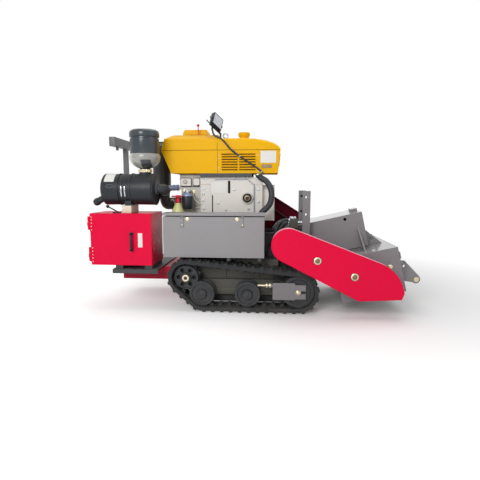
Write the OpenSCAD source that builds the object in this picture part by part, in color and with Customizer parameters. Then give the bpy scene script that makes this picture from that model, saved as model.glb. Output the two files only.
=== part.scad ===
// Small tracked cold planer: a road milling machine driven by one horizontal diesel cylinder.
// Millimetres. +X points to the milling drum, -Y is the side with the drive guard, +Z is up.
// The origin lies on the ground under the middle of the overall box.

/* [Undercarriage] */
// Width of each rubber track
track_w = 180; // [140:5:190]
// Distance from the machine's centre plane to the middle of a track
track_y = 410; // [405:1:415]
// Height of the ground lugs
lug_h = 20; // [12:1:22]
// Thickness of the track belt
belt_t = 18; // [12:1:20]
// Wanted distance from lug to lug
lug_pitch = 70; // [60:1:90]
// Length of a ground lug along the track, at its root
lug_root = 36; // [28:1:44]
// Length of a ground lug along the track, at its tip
lug_tip = 24; // [16:1:26]
// Height of the guide teeth inside the track
guide_h = 22; // [14:1:24]
// Radius of the drive sprocket
sprocket_r = 112; // [104:1:116]
// Place of the drive sprocket along the machine
sprocket_x = -539; // [-545:1:-530]
// Height of the drive sprocket's axle
sprocket_z = 270; // [262:1:274]
// Radius of the idler
idler_r = 128; // [118:1:130]
// Place of the idler along the machine
idler_x = 344; // [338:1:350]
// Radius of a road wheel
wheel_r = 92; // [84:1:96]
// Place of the rear road wheel along the machine
wheel_rear_x = -408; // [-414:1:-400]
// Place of the front road wheel along the machine
wheel_front_x = -51; // [-60:1:-45]
// Radius of the axles that carry the wheels
axle_r = 15; // [10:1:18]

/* [Chassis] */
// Half width of the chassis hull
hull_half = 305; // [290:1:308]
// Rear face of the hull
hull_x0 = -620; // [-640:5:-600]
// Front face of the hull, behind the milling head
hull_x1 = 190; // [160:5:200]
// Underside of the hull
hull_z0 = 160; // [140:5:180]
// Deck of the hull
deck_z = 400; // [396:1:402]
// Rear end of the tail frame
tail_x0 = -1109; // [-1130:1:-1090]
// Underside of the tail frame
tail_z0 = 218; // [200:1:240]
// Top of the tail frame, under the platform
tail_z1 = 325; // [315:1:328]
// Thickness of the operator's platform
platform_t = 10; // [6:1:14]
// Distance from the centre plane to the inner face of a cheek plate
cheek_in = 215; // [212:1:222]
// Thickness of a cheek plate
cheek_t = 20; // [14:1:22]
// Width of a lift post across the machine
post_w = 50; // [40:1:56]
// Depth of a lift post along the machine
post_d = 60; // [50:1:70]
// Height of a lift post's top
post_top = 950; // [900:5:980]
// Wall of the posts' steel channel
post_wall = 8; // [5:1:10]
// Radius of the holes in a lift post
post_hole_r = 11; // [8:1:14]
// Height of the engine rails on the deck
rail_h = 200; // [190:1:202]

/* [Cabinet] */
// Length of the cabinet along the machine
cabinet_w = 492; // [470:1:500]
// Rear face of the cabinet
cabinet_x0 = -1296; // [-1300:1:-1290]
// Depth of the cabinet behind its door
cabinet_d = 310; // [260:5:330]
// Floor of the cabinet
cabinet_z0 = 365; // [360:1:372]
// Height of the cabinet
cabinet_h = 412; // [400:1:412]
// Sheet wall of the cabinet
cabinet_wall = 5; // [3:1:8]
// Thickness of the folded door
door_t = 18; // [12:1:20]
// Gap between the door and the cabinet
door_gap = 5; // [4:1:8]
// Radius of the door's hinge pin
door_pin_r = 5; // [4:0.5:6]

/* [Toolbox] */
// Length of the toolbox along the machine
toolbox_w = 798; // [760:2:800]
// Rear end of the toolbox
toolbox_x0 = -721; // [-724:1:-715]
// Depth of the toolbox
toolbox_d = 135; // [120:1:137]
// Distance from the centre plane to the toolbox's outer face
toolbox_out = 460; // [450:1:470]
// Floor of the toolbox
toolbox_z0 = 430; // [430:1:436]
// Height of the toolbox without its lid
toolbox_h = 321; // [300:1:322]
// Sheet wall of the toolbox
toolbox_wall = 4; // [3:1:6]
// Height of the folded lid
lid_h = 26; // [20:1:28]
// Gap between the lid and the box
lid_gap = 5; // [4:1:6]

/* [Engine] */
// Rear face of the crankcase
block_x0 = -467; // [-470:1:-460]
// Front face of the crankcase
block_x1 = 53; // [40:1:60]
// Half width of the crankcase
block_half = 170; // [160:1:175]
// Top of the crankcase
block_top = 1064; // [1050:1:1070]
// How far the gear cover stands out
gear_cover_t = 15; // [10:1:20]
// Rear face of the cylinder head
head_x0 = -636; // [-640:1:-625]
// Half width of the cylinder head
head_half = 150; // [140:1:155]
// Place of the crankshaft along the machine
crank_x = -69; // [-75:1:-60]
// Height of the crankshaft
crank_z = 800; // [795:1:805]
// Radius of the flywheel
flywheel_r = 192; // [175:1:195]
// Thickness of the flywheel's rim
flywheel_t = 85; // [60:5:95]
// Radius of the crankshaft
crank_r = 22; // [18:1:26]

/* [Hood] */
// Half width of the hood
hood_half = 210; // [200:1:215]
// Height of the two rails between the crankcase and the hood
cradle_h = 30; // [20:1:36]
// Height of the radiator shroud, up to the seam under the tanks
shroud_h = 189; // [180:1:194]
// Rear end of the hood at the seam
hood_x0 = -789; // [-795:1:-780]
// Front end of the hood at the seam
hood_x1 = 198; // [190:1:205]
// Seam between the water tank and the fuel tank
tank_seam_x = -319; // [-330:1:-310]
// Height of the water tank above the seam
water_h = 129; // [120:1:134]
// Height of the fuel tank above the seam
fuel_h = 97; // [90:1:104]
// Sheet wall of the shroud
shroud_wall = 4; // [3:1:6]
// Rows of louvres
louvre_rows = 7; // [3:1:7]
// Distance from louvre to louvre
louvre_pitch = 21; // [19:1:22]
// Length of one louvre
louvre_w = 132; // [100:1:134]
// Diameter of the fuel cap
fuel_cap_d = 99; // [80:1:110]

/* [Air cleaner] */
// Radius of the air cleaner
cleaner_r = 118; // [105:1:120]
// Closed end of the air cleaner
cleaner_x0 = -1259; // [-1270:1:-1250]
// Open end of the air cleaner
cleaner_x1 = -787; // [-795:1:-780]
// Distance from the centre plane to the air cleaner's axis
cleaner_y = 380; // [375:1:385]
// Height of the air cleaner's axis
cleaner_z = 974; // [972:1:980]
// Radius of the neck up to the pre-cleaner
neck_r = 49; // [40:1:55]
// Place of the neck along the machine
neck_x = -879; // [-885:1:-870]
// Radius of the pre-cleaner's bowl
bowl_r = 114; // [100:1:118]
// Radius of the intake hose
intake_r = 40; // [32:1:44]
// Wall of the intake hose
intake_wall = 5; // [3:1:6]

/* [Drive] */
// Radius of the jackshaft
jack_r = 25; // [20:1:27]
// Radius of the belt pulley on the jackshaft
jack_pulley_r = 120; // [105:1:122]
// Radius of the belt pulley on the crankshaft
crank_pulley_r = 100; // [85:1:110]
// Width of the belts
belts_w = 46; // [36:1:48]
// Inner face of the belt guard
guard_y0 = 285.3; // [285.3:0.1:288]
// Depth of the belt guard
guard_d = 75; // [68:1:80]
// Wall of the belt guard
guard_wall = 4; // [3:1:6]

/* [Milling head] */
// Place of the head's pivot along the machine
pivot_x = 260; // [256:1:264]
// Height of the head's pivot
pivot_z = 548; // [545:1:550]
// Angle of the head above level, as it stands
head_rise = 12.8; // [12:0.1:13.5]
// Outer radius of the pivot tube
tube_r = 45; // [42:1:48]
// Length of the boom from the pivot
boom_len = 642; // [620:1:650]
// Half width of the boom
boom_half = 200; // [190:1:205]
// Top of the boom above the pivot
boom_up = 95; // [80:1:100]
// Underside of the boom below the pivot
boom_down = 187; // [170:1:190]
// Plate of the boom
boom_t = 12; // [8:1:14]
// Place of the drum from the pivot, along the head
drum_x = 634; // [628:1:640]
// Depth of the drum below the pivot, square to the head
drum_down = 457; // [450:1:460]
// Radius to the tips of the picks
drum_tip_r = 155; // [145:1:158]
// Radius of the drum's barrel
drum_core_r = 112; // [100:1:118]
// Half length of the drum
drum_half = 350; // [330:1:360]
// Number of picks
pick_count = 40; // [20:2:44]
// Radius of the drum's axle
drum_axle_r = 30; // [25:1:34]
// Rear wall of the cutter box, from the pivot
box_x0 = 319; // [315:1:322]
// Front wall of the cutter box, from the pivot
box_x1 = 815; // [810:1:830]
// Half width of the cutter box
box_half = 420; // [410:1:425]
// Roof of the cutter box below the pivot
box_up = 206; // [202:1:215]
// Lower edge of the cutter box below the pivot
box_down = 563; // [550:1:565]
// Plate of the cutter box
box_t = 12; // [8:1:14]
// Outer face of the drive guard from the centre plane
case_out = 600; // [590:1:600]
// Inner face of the drive guard from the centre plane
case_in = 505; // [505:1:512]
// Radius of the drive guard's ends
case_r = 127; // [115:1:130]

/* [Lift cylinder] */
// Place of the cylinder's base pin along the machine
lift_base_x = 235; // [232:1:238]
// Height of the base pin
lift_base_z = 300; // [296:1:304]
// Place of the rod pin from the head's pivot, along the head
lift_rod_x = 285; // [280:1:288]
// Depth of the rod pin below the pivot, square to the head
lift_rod_down = 230; // [228:1:236]
// Outer radius of the barrel
barrel_r = 26; // [22:1:28]
// Radius of the rod
rod_r = 13; // [10:1:14]
// Radius of the two pins
pin_r = 9; // [7:1:10]

/* [Hidden] */
$fn = 48;

// The drive guard stands out on one side, so the centre plane is off the middle of the width
centre_y = (case_out - track_y - track_w / 2) / 2;
// Clearance between pieces that seat on each other
seat = 0.3;
// Heights of the hood, counted up from the crankcase
shroud_z0 = block_top + cradle_h;
seam_z = shroud_z0 + shroud_h;
water_top = seam_z + water_h;
fuel_top = seam_z + fuel_h;

// Colours as they show
crimson = [0.80, 0.05, 0.20];
yellow = [0.93, 0.70, 0.05];
plate_grey = [0.57, 0.56, 0.57];
engine_grey = [0.74, 0.73, 0.70];
dark = [0.17, 0.18, 0.20];
rubber_black = [0.10, 0.11, 0.12];
zinc = [0.78, 0.74, 0.62];
steel = [0.72, 0.73, 0.75];
cream = [0.90, 0.86, 0.76];
bottle_yellow = [0.90, 0.90, 0.62];
smoke = [0.32, 0.35, 0.37];

// The machine's centre plane lies at y = 0 inside this
module machine() {
    translate([0, centre_y, 0]) children();
}

// A block given by its faces
module block(x0, x1, y0, y1, z0, z1) {
    translate([x0, y0, z0]) cube([x1 - x0, y1 - y0, z1 - z0]);
}

// Cylinders along the three axes, given by their ends
module x_rod(x0, x1, y, z, r) {
    translate([x0, y, z]) rotate([0, 90, 0]) cylinder(h = x1 - x0, r = r);
}
module y_rod(x, z, y0, y1, r) {
    translate([x, y1, z]) rotate([90, 0, 0]) cylinder(h = y1 - y0, r = r);
}
module z_rod(x, y, z0, z1, r) {
    translate([x, y, z0]) cylinder(h = z1 - z0, r = r);
}

// A side view drawn in X and Z, as thick as from y0 to y1
module side_slab(y0, y1) {
    translate([0, y1, 0]) rotate([90, 0, 0]) linear_extrude(y1 - y0) children();
}

// An end view drawn in Y and Z, as long as from x0 to x1
module end_slab(x0, x1) {
    translate([x0, 0, 0]) rotate([90, 0, 90]) linear_extrude(x1 - x0) children();
}

// A turned piece on an axle along Y; its profile is drawn as radius and place along the axle
module turned_y(x, y, z) {
    translate([x, y, z]) rotate([-90, 0, 0]) rotate_extrude() children();
}

// Both sides of the machine; side is -1 for the near side and 1 for the far side
module both_sides() {
    for (side = [-1, 1]) scale([1, side, 1]) children();
}

function turn(a) = [cos(a), sin(a)];

// Loops round circles, each [x, z, radius], in clockwise order.
// The outward normal of the straight run that leaves circle i
function run_normal(c, i) = let (a = c[i], b = c[(i + 1) % len(c)], d = [b[0] - a[0], b[1] - a[1]])
    atan2(d[1], d[0]) + acos((a[2] - b[2]) / norm(d));
function run_length(c, i) = let (a = c[i], b = c[(i + 1) % len(c)], d = [b[0] - a[0], b[1] - a[1]])
    sqrt(norm(d) * norm(d) - (a[2] - b[2]) * (a[2] - b[2]));
function arc_start(c, i) = run_normal(c, (i + len(c) - 1) % len(c));
function arc_sweep(c, i) = (arc_start(c, i) - run_normal(c, i) + 720) % 360;
// The outline of a loop, its flats touching the circles grown by t
function loop_outline(c, t, step) = [for (i = [0:len(c) - 1])
    let (n = ceil(arc_sweep(c, i) / step), st = arc_sweep(c, i) / n)
    for (k = [0:n - 1]) [c[i][0], c[i][1]] + (c[i][2] + t) / cos(st / 2) * turn(arc_start(c, i) - (k + 0.5) * st)];

// The track's three circles, belt inside
wheel_z = lug_h + belt_t + wheel_r;
idler_z = lug_h + belt_t + idler_r;
track_circles = [[sprocket_x, sprocket_z, sprocket_r], [idler_x, idler_z, idler_r], [wheel_rear_x, wheel_z, wheel_r]];
// Legs of the track: arcs at even numbers, straight runs at odd ones
function leg_length(k) = k % 2 == 0
    ? (track_circles[k / 2][2] + belt_t) * arc_sweep(track_circles, k / 2) * PI / 180
    : run_length(track_circles, (k - 1) / 2);
function leg_start(k) = k == 0 ? 0 : leg_start(k - 1) + leg_length(k - 1);
track_length = leg_start(6);
leg_starts = [for (k = [0:5]) leg_start(k)];
lug_count = round(track_length / lug_pitch);
// Direction outward from the belt at distance s along it, and the point there at offset t
function track_leg(s) = max([for (k = [0:5]) if (s >= leg_starts[k]) k]);
function track_angle(s) = let (k = track_leg(s), i = floor(k / 2))
    k % 2 == 0 ? arc_start(track_circles, i) - (s - leg_starts[k]) / (track_circles[i][2] + belt_t) * 180 / PI
    : run_normal(track_circles, i);
function track_point(s, t) = let (k = track_leg(s), i = floor(k / 2), a = track_angle(s))
    [track_circles[i][0], track_circles[i][1]] + (track_circles[i][2] + t) * turn(a)
    + (k % 2 == 0 ? 0 : s - leg_starts[k]) * turn(a - 90);
// A toothed outline: root and tip lengths, the belt face's offset and the tip's offset
function toothed(root, tip, t0, t1, phase) = [for (k = [0:lug_count - 1])
    let (s = (k + phase) * track_length / lug_count, a = track_angle(s), p = track_point(s, t1))
    each [track_point(s - root / 2 + (s < root / 2 ? track_length : 0), t0), p - tip / 2 * turn(a - 90),
        p + tip / 2 * turn(a - 90), track_point(s + root / 2 > track_length ? s + root / 2 - track_length
        : s + root / 2, t0)]];

// Places of the guide teeth across the track, from its middle
guide_in = 18;
guide_out = 34;

module track_slab(y0, y1, phase, guided) {
    side_slab(y0, y1) difference() {
        polygon(toothed(lug_root, lug_tip, belt_t, belt_t + lug_h, phase));
        if (guided) polygon(toothed(lug_root, lug_tip, 0, -guide_h, 0.25));
        else polygon(loop_outline(track_circles, 0, 15));
    }
}

// The lugs of the two halves are staggered by half a pitch
module track(side) {
    scale([1, side, 1]) translate([0, track_y, 0]) {
        track_slab(-track_w / 2, -guide_out, 0.5, false);
        track_slab(-guide_out, -guide_in, 0.5, true);
        track_slab(-guide_in, 0, 0.5, false);
        track_slab(0, guide_in, 0, false);
        track_slab(guide_in, guide_out, 0, true);
        track_slab(guide_out, track_w / 2, 0, false);
    }
}
module track_near() {
    color(rubber_black) machine() track(-1);
}
module track_far() {
    color(rubber_black) machine() track(1);
}

// Twin wheel: two rims either side of the guide teeth, a dished web and a hub; y grows outward
rim_in = guide_out + 4;
rim_out = 58;
module twin_wheel(x, z, r, hub_r, hub_out) {
    web = rim_out - 10;
    core = r - guide_h - 12;
    turned_y(x, track_y, z) polygon([[axle_r + seat, -hub_out], [hub_r, -hub_out], [hub_r + 6, -web],
        [r * 0.74, -web], [r * 0.8, -rim_out], [r - seat - 4, -rim_out], [r - seat, 4 - rim_out],
        [r - seat, -rim_in], [core, 3 - rim_in], [core, rim_in - 3], [r - seat, rim_in],
        [r - seat, rim_out - 4], [r - seat - 4, rim_out], [r * 0.8, rim_out], [r * 0.74, web],
        [hub_r + 6, web], [hub_r, hub_out], [axle_r + seat, hub_out]]);
}
wheel_hub_r = 32;
wheel_hub_out = 66;
module road_wheels(side) {
    scale([1, side, 1]) for (x = [wheel_rear_x, wheel_front_x])
        twin_wheel(x, wheel_z, wheel_r, wheel_hub_r, wheel_hub_out);
}
module road_wheels_near() {
    color(dark) machine() road_wheels(-1);
}
module road_wheels_far() {
    color(dark) machine() road_wheels(1);
}
idler_hub_r = 40;
module idler(side) {
    scale([1, side, 1]) twin_wheel(idler_x, idler_z, idler_r, idler_hub_r, rim_out);
}
module idler_near() {
    color(dark) machine() idler(-1);
}
module idler_far() {
    color(dark) machine() idler(1);
}

// Drive sprocket: a toothed disc between the guide teeth, a spoked ring outside them, one hub
sprocket_teeth = 11;
sprocket_spokes = 6;
sprocket_disc = guide_in - 4;
sprocket_hub_r = 38;
sprocket_hub_out = 82;
sprocket_ring_r = sprocket_r - 18;
module sprocket(side) {
    root_r = sprocket_r - 16;
    scale([1, side, 1]) {
        difference() {
            union() {
                side_slab(track_y - sprocket_disc, track_y + sprocket_disc) translate([sprocket_x, sprocket_z])
                    polygon([for (k = [0:sprocket_teeth - 1], u = [[0, root_r], [0.22, root_r],
                        [0.38, sprocket_r - 1], [0.62, sprocket_r - 1], [0.78, root_r]])
                        u[1] * turn((k + u[0]) * 360 / sprocket_teeth)]);
                turned_y(sprocket_x, track_y, sprocket_z) polygon([[0, rim_in], [sprocket_ring_r, rim_in],
                    [sprocket_ring_r, rim_out], [sprocket_ring_r - 8, rim_out],
                    [sprocket_ring_r - 8, rim_out - 6], [0, rim_out - 6]]);
                y_rod(sprocket_x, sprocket_z, hull_half + seat, track_y + sprocket_hub_out, sprocket_hub_r);
            }
            for (k = [0:sprocket_spokes - 1]) translate([sprocket_x, 0, sprocket_z])
                rotate([0, k * 360 / sprocket_spokes, 0])
                y_rod((sprocket_ring_r - 8 + sprocket_hub_r) / 2, 0, track_y + rim_in - 1, track_y + rim_out + 1, 17);
        }
        y_rod(sprocket_x, sprocket_z, track_y + sprocket_hub_out, track_y + sprocket_hub_out + 5, 26);
        y_rod(sprocket_x, sprocket_z, track_y + sprocket_hub_out + 5, track_y + sprocket_hub_out + 8, 14);
    }
}
module sprocket_near() {
    color(dark) machine() sprocket(-1);
}
module sprocket_far() {
    color(dark) machine() sprocket(1);
}

// Track frame: inner beam with the axles, the idler's fork, its outer plate and the tension screw
beam_z0 = 160;
beam_z1 = 235;
beam_out = track_y - wheel_hub_out - seat;
fork_x0 = 146;
fork_x1 = 190;
plate_t = 10;
plate_in = track_y + rim_out + seat;
screw_z = 215;
screw_r = 9;
module track_frame(side) {
    scale([1, side, 1]) {
        difference() {
            union() {
                block(wheel_rear_x - 70, fork_x1, hull_half, beam_out, beam_z0, beam_z1);
                side_slab(hull_half + 18, beam_out) polygon([[fork_x1 - 10, beam_z0], [idler_x, idler_z - 32],
                    [idler_x + 30, idler_z - 20], [idler_x + 30, idler_z + 20], [idler_x, idler_z + 32],
                    [fork_x1 - 10, beam_z1]]);
                for (x = [wheel_rear_x, wheel_front_x]) {
                    y_rod(x, wheel_z, hull_half, track_y + wheel_hub_out, axle_r);
                    y_rod(x, wheel_z, hull_half, beam_out, 34);
                    y_rod(x, wheel_z, track_y + wheel_hub_out, track_y + wheel_hub_out + 6, 20);
                }
                y_rod(idler_x, idler_z, hull_half + 18, plate_in + plate_t + 6, axle_r);
                y_rod(idler_x, idler_z, plate_in + plate_t, plate_in + plate_t + 6, 20);
                block(fork_x0, fork_x1, hull_half, plate_in + 1, 130, screw_z + 12);
                side_slab(plate_in, plate_in + plate_t) difference() {
                    polygon([[fork_x0, 104], [idler_x - 30, 104], [idler_x - 20, 112], [idler_x + 59, 112],
                        [idler_x + 59, idler_z - 10], [idler_x + 20, idler_z - 10], [idler_x + 20, idler_z + 10],
                        [idler_x + 59, idler_z + 10], [idler_x + 59, 225], [idler_x - 20, 225],
                        [idler_x - 30, 240], [fork_x0, 240]]);
                }
                x_rod(fork_x0 - 120, fork_x0 + 5, track_y + 50, screw_z, screw_r);
                x_rod(fork_x0 - 30, fork_x0, track_y + 50, screw_z, screw_r + 7);
            }
        }
    }
}
module track_frame_near() {
    color(plate_grey) machine() track_frame(-1);
}
module track_frame_far() {
    color(plate_grey) machine() track_frame(1);
}

// Chassis: a closed hull between the tracks and two cheek plates that carry the head
cheek_x1 = 445;
cheek_top = 640;
bearing_r = tube_r + 28;
module chassis_frame() {
    color(dark) machine() difference() {
        union() {
            block(hull_x0, hull_x1, -hull_half, hull_half, hull_z0, deck_z);
            both_sides() {
                side_slab(cheek_in, cheek_in + cheek_t) polygon([[hull_x1 - 90, deck_z - 10],
                    [hull_x1 - 1, hull_z0 + 110], [cheek_x1 - 70, hull_z0 + 110], [cheek_x1, hull_z0 + 180],
                    [cheek_x1, cheek_top - 60], [cheek_x1 - 60, cheek_top], [pivot_x - 50, cheek_top],
                    [hull_x1 - 90, deck_z + 60]]);
                y_rod(pivot_x, pivot_z, cheek_in - 8, cheek_in + cheek_t + 6, bearing_r);
            }
            // Ears of the lift cylinder's base pin
            for (y = [-44, 32]) side_slab(y, y + 12) polygon([[hull_x1 - 1, lift_base_z - 40],
                [lift_base_x, lift_base_z - 22], [lift_base_x + 20, lift_base_z - 10],
                [lift_base_x + 20, lift_base_z + 10], [lift_base_x, lift_base_z + 22],
                [hull_x1 - 1, lift_base_z + 40]]);
            y_rod(lift_base_x, lift_base_z, -50, 50, pin_r);
        }
        y_rod(pivot_x, pivot_z, -cheek_in - cheek_t - 20, cheek_in + cheek_t + 20, tube_r + seat);
    }
}

// Two upright channels outside the cheek plates, with the boom swinging between them
post_x0 = cheek_x1 - post_d - 4;
post_z0 = hull_z0 + 190;
module lift_posts() {
    color(dark) machine() both_sides() difference() {
        block(post_x0, post_x0 + post_d, cheek_in + cheek_t, cheek_in + cheek_t + post_w, post_z0, post_top);
        block(post_x0 - 1, post_x0 + post_d - post_wall, cheek_in + cheek_t + post_wall,
            cheek_in + cheek_t + post_w - post_wall, post_z0 - 1, post_top + 1);
        for (z = [post_top - 50, post_top - 190])
            y_rod(post_x0 + post_d / 2 - 6, z, cheek_in, cheek_in + cheek_t + post_w + 5, post_hole_r);
    }
}

// Tail box behind the tracks, closed
module tail_frame() {
    color(crimson) machine() side_slab(-hull_half, hull_half) polygon([[tail_x0, tail_z0], [hull_x0, tail_z0],
        [hull_x0, tail_z1], [tail_x0, tail_z1]]);
}

// Operator's platform on the tail box, with its folded edge
platform_x0 = -1125;
platform_y0 = -500;
platform_y1 = 280;
platform_top = tail_z1 + platform_t;
platform_edge_x = -757;
module operator_platform() {
    color(dark) machine() difference() {
        union() {
            block(platform_x0, platform_edge_x, platform_y0, platform_y1, tail_z1, platform_top);
            block(platform_x0, platform_x0 + 6, platform_y0, -hull_half - 1, tail_z1 - 24, tail_z1 + 1);
            block(platform_x0, platform_edge_x, platform_y0, platform_y0 + 6, tail_z1 - 24, tail_z1 + 1);
            // Feet under the cabinet
            for (x = [platform_x0 + 20, platform_edge_x - 110])
                block(x, x + 60, platform_y0 + 20, platform_y0 + cabinet_d, platform_top - 1, cabinet_z0);
        }
    }
}

// T-shaped handrail
rail_post_x = -1171;
rail_beam_z0 = 1318;
rail_beam_z1 = 1392;
module handrail() {
    color(plate_grey) machine() {
        difference() {
            block(-1210, -1164, -250, 330, rail_beam_z0, rail_beam_z1);
            block(-1206, -1168, -251, 331, rail_beam_z0 + 4, rail_beam_z1 - 4);
        }
        block(rail_post_x - 19, rail_post_x + 19, 1, 39, platform_top + 10, rail_beam_z0);
        block(-1200, -1060, -20, 60, platform_top, platform_top + 10);
        side_slab(16, 24) polygon([[rail_post_x + 18, platform_top + 9], [-1080, platform_top + 9],
            [rail_post_x + 18, platform_top + 90]]);
        z_rod(rail_post_x, -180, rail_beam_z0 - 30, rail_beam_z0 + 1, 12);
    }
}

// Cabinet: sheet walls round an open front, closed by the door
cabinet_x1 = cabinet_x0 + cabinet_w;
cabinet_y0 = platform_y0 + door_t + door_gap;
cabinet_y1 = cabinet_y0 + cabinet_d;
cabinet_z1 = cabinet_z0 + cabinet_h;
cabinet_flange = 22;
hinge_x = cabinet_x0 - door_pin_r - 5;
hinge_y = platform_y0 + door_t / 2;
hinge_zs = [cabinet_z0 + 60, cabinet_z1 - 100];
module cabinet_body() {
    color(crimson) machine() {
        difference() {
            block(cabinet_x0, cabinet_x1, cabinet_y0, cabinet_y1, cabinet_z0, cabinet_z1);
            block(cabinet_x0 + cabinet_wall, cabinet_x1 - cabinet_wall, cabinet_y0 + cabinet_wall,
                cabinet_y1 - cabinet_wall, cabinet_z0 + cabinet_wall, cabinet_z1 - cabinet_wall);
            block(cabinet_x0 + cabinet_flange, cabinet_x1 - cabinet_flange, cabinet_y0 - 1, cabinet_y0 + 20,
                cabinet_z0 + cabinet_flange, cabinet_z1 - cabinet_flange);
        }
        // Hinge pins on straps round the rear edge
        for (z = hinge_zs) {
            block(cabinet_x0 - 6, cabinet_x0, cabinet_y0, cabinet_y0 + 40, z - 30, z - 2);
            side_slab(hinge_y, cabinet_y0 + 10) polygon([[hinge_x - 4, z - 30], [cabinet_x0, z - 30],
                [cabinet_x0, z - 2], [hinge_x - 4, z - 2]]);
            z_rod(hinge_x, hinge_y, z - 30, z - 2, door_pin_r + 5);
            z_rod(hinge_x, hinge_y, z - 3, z + 30, door_pin_r);
        }
    }
}
module cabinet_door() {
    color(crimson) machine() difference() {
        union() {
            block(cabinet_x0 + 2, cabinet_x1, platform_y0, platform_y0 + door_t, cabinet_z0 + 2, cabinet_z1 - 2);
            for (z = hinge_zs) {
                block(hinge_x, cabinet_x0 + 46, platform_y0 - 3, platform_y0 + 3, z, z + 30);
                z_rod(hinge_x, hinge_y, z, z + 30, door_pin_r + 5);
                block(hinge_x - 9, hinge_x + 4, platform_y0 - 3, hinge_y, z, z + 30);
            }
            // Bow handle
            block(-965, -953, platform_y0 - 24, platform_y0, cabinet_z0 + 120, cabinet_z0 + 132);
            block(-965, -953, platform_y0 - 24, platform_y0, cabinet_z0 + 248, cabinet_z0 + 260);
            block(-965, -953, platform_y0 - 34, platform_y0 - 22, cabinet_z0 + 120, cabinet_z0 + 260);
        }
        for (z = hinge_zs) z_rod(hinge_x, hinge_y, z - 1, z + 31, door_pin_r + seat);
        block(cabinet_x0 + 6, cabinet_x1 - 4, platform_y0 + 3, platform_y0 + door_t + 1, cabinet_z0 + 6,
            cabinet_z1 - 6);
    }
}

// Valve lever on the cabinet
lever_x = -1094;
lever_y = -440;
module valve_lever() {
    color(steel) machine() {
        block(lever_x - 30, lever_x + 30, lever_y - 15, lever_y + 15, cabinet_z1, cabinet_z1 + 8);
        translate([lever_x + 10, lever_y, cabinet_z1 + 7]) rotate([0, -62, 0]) {
            cylinder(h = 95, r = 5);
            translate([0, 0, 95]) sphere(13);
        }
    }
}

// Shelf of angle steel under the toolbox
toolbox_in = toolbox_out - toolbox_d;
toolbox_x1 = toolbox_x0 + toolbox_w;
shelf_arms = [toolbox_x0 + 0.2 * toolbox_w, toolbox_x0 + 0.65 * toolbox_w, toolbox_x1 - 37];
arm_half = 14;
module toolbox_shelf() {
    color(dark) machine() {
        block(toolbox_x0, toolbox_x1, -toolbox_in - 30, -hull_half + 60, deck_z + 22, toolbox_z0);
        block(hull_x0, toolbox_x1, -hull_half + 2, -hull_half + 10, deck_z, deck_z + 23);
        for (x = [shelf_arms[1], shelf_arms[2]])
            block(x - arm_half, x + arm_half, -toolbox_out + 5, -hull_half + 60, deck_z + 2, toolbox_z0);
        for (x = shelf_arms) block(x - arm_half, x + arm_half, -hull_half + 2, -hull_half + 60, deck_z, deck_z + 23);
    }
}

// Toolbox: open sheet box and its folded lid
toolbox_z1 = toolbox_z0 + toolbox_h;
lid_z0 = toolbox_z1 + lid_gap - 1;
lid_pin_r = 3;
lid_pin_y = -toolbox_in + 7;
lid_pin_z = toolbox_z1 + 2;
lid_hinges = [toolbox_x0 + 0.15 * toolbox_w, toolbox_x0 + 0.8 * toolbox_w];
module toolbox_body() {
    color(plate_grey) machine() {
        difference() {
            block(toolbox_x0, toolbox_x1, -toolbox_out, -toolbox_in, toolbox_z0, toolbox_z1);
            block(toolbox_x0 + toolbox_wall, toolbox_x1 - toolbox_wall, -toolbox_out + toolbox_wall,
                -toolbox_in - toolbox_wall, toolbox_z0 + toolbox_wall, toolbox_z1 + 1);
        }
        for (x = lid_hinges) {
            block(x - 40, x, -toolbox_in, lid_pin_y + 3, toolbox_z1 - 30, lid_pin_z);
            x_rod(x - 40, x, lid_pin_y, lid_pin_z, lid_pin_r + 4);
            x_rod(x - 1, x + 40, lid_pin_y, lid_pin_z, lid_pin_r);
        }
    }
}
module toolbox_lid() {
    color(plate_grey) machine() difference() {
        union() {
            block(toolbox_x0 - 3, toolbox_x1 + 3, -toolbox_out - 3, -toolbox_in, lid_z0 + 4, lid_z0 + lid_h);
            for (x = lid_hinges) {
                x_rod(x, x + 40, lid_pin_y, lid_pin_z, lid_pin_r + 4);
                block(x, x + 40, -toolbox_in - 6, lid_pin_y + 3, lid_pin_z + 3, lid_z0 + 12);
            }
        }
        block(toolbox_x0, toolbox_x1, -toolbox_out, -toolbox_in - 3, lid_z0, lid_z0 + lid_h - 3);
        for (x = lid_hinges) x_rod(x - 1, x + 41, lid_pin_y, lid_pin_z, lid_pin_r + seat);
    }
}

// Engine rails: two channels on the deck
block_z0 = deck_z + rail_h;
rail_in = 118;
module engine_rails() {
    color(dark) machine() both_sides() {
        block(head_x0 - 20, hull_x1, rail_in, rail_in + 12, deck_z, block_z0);
        for (z = [deck_z, block_z0 - 12]) block(head_x0 - 20, hull_x1, rail_in, block_half, z, z + 12);
    }
    // Tray of the fluid bottle
    color(dark) machine() {
        block(bottle_x - 60, bottle_x + 60, bottle_y - 56, -head_half - 8, bottle_z0 - 8, bottle_z0);
        block(head_x0 - 20, bottle_x + 60, -head_half - 16, -head_half - 8, block_z0 - 1, bottle_z0 - 7);
    }
}

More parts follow.
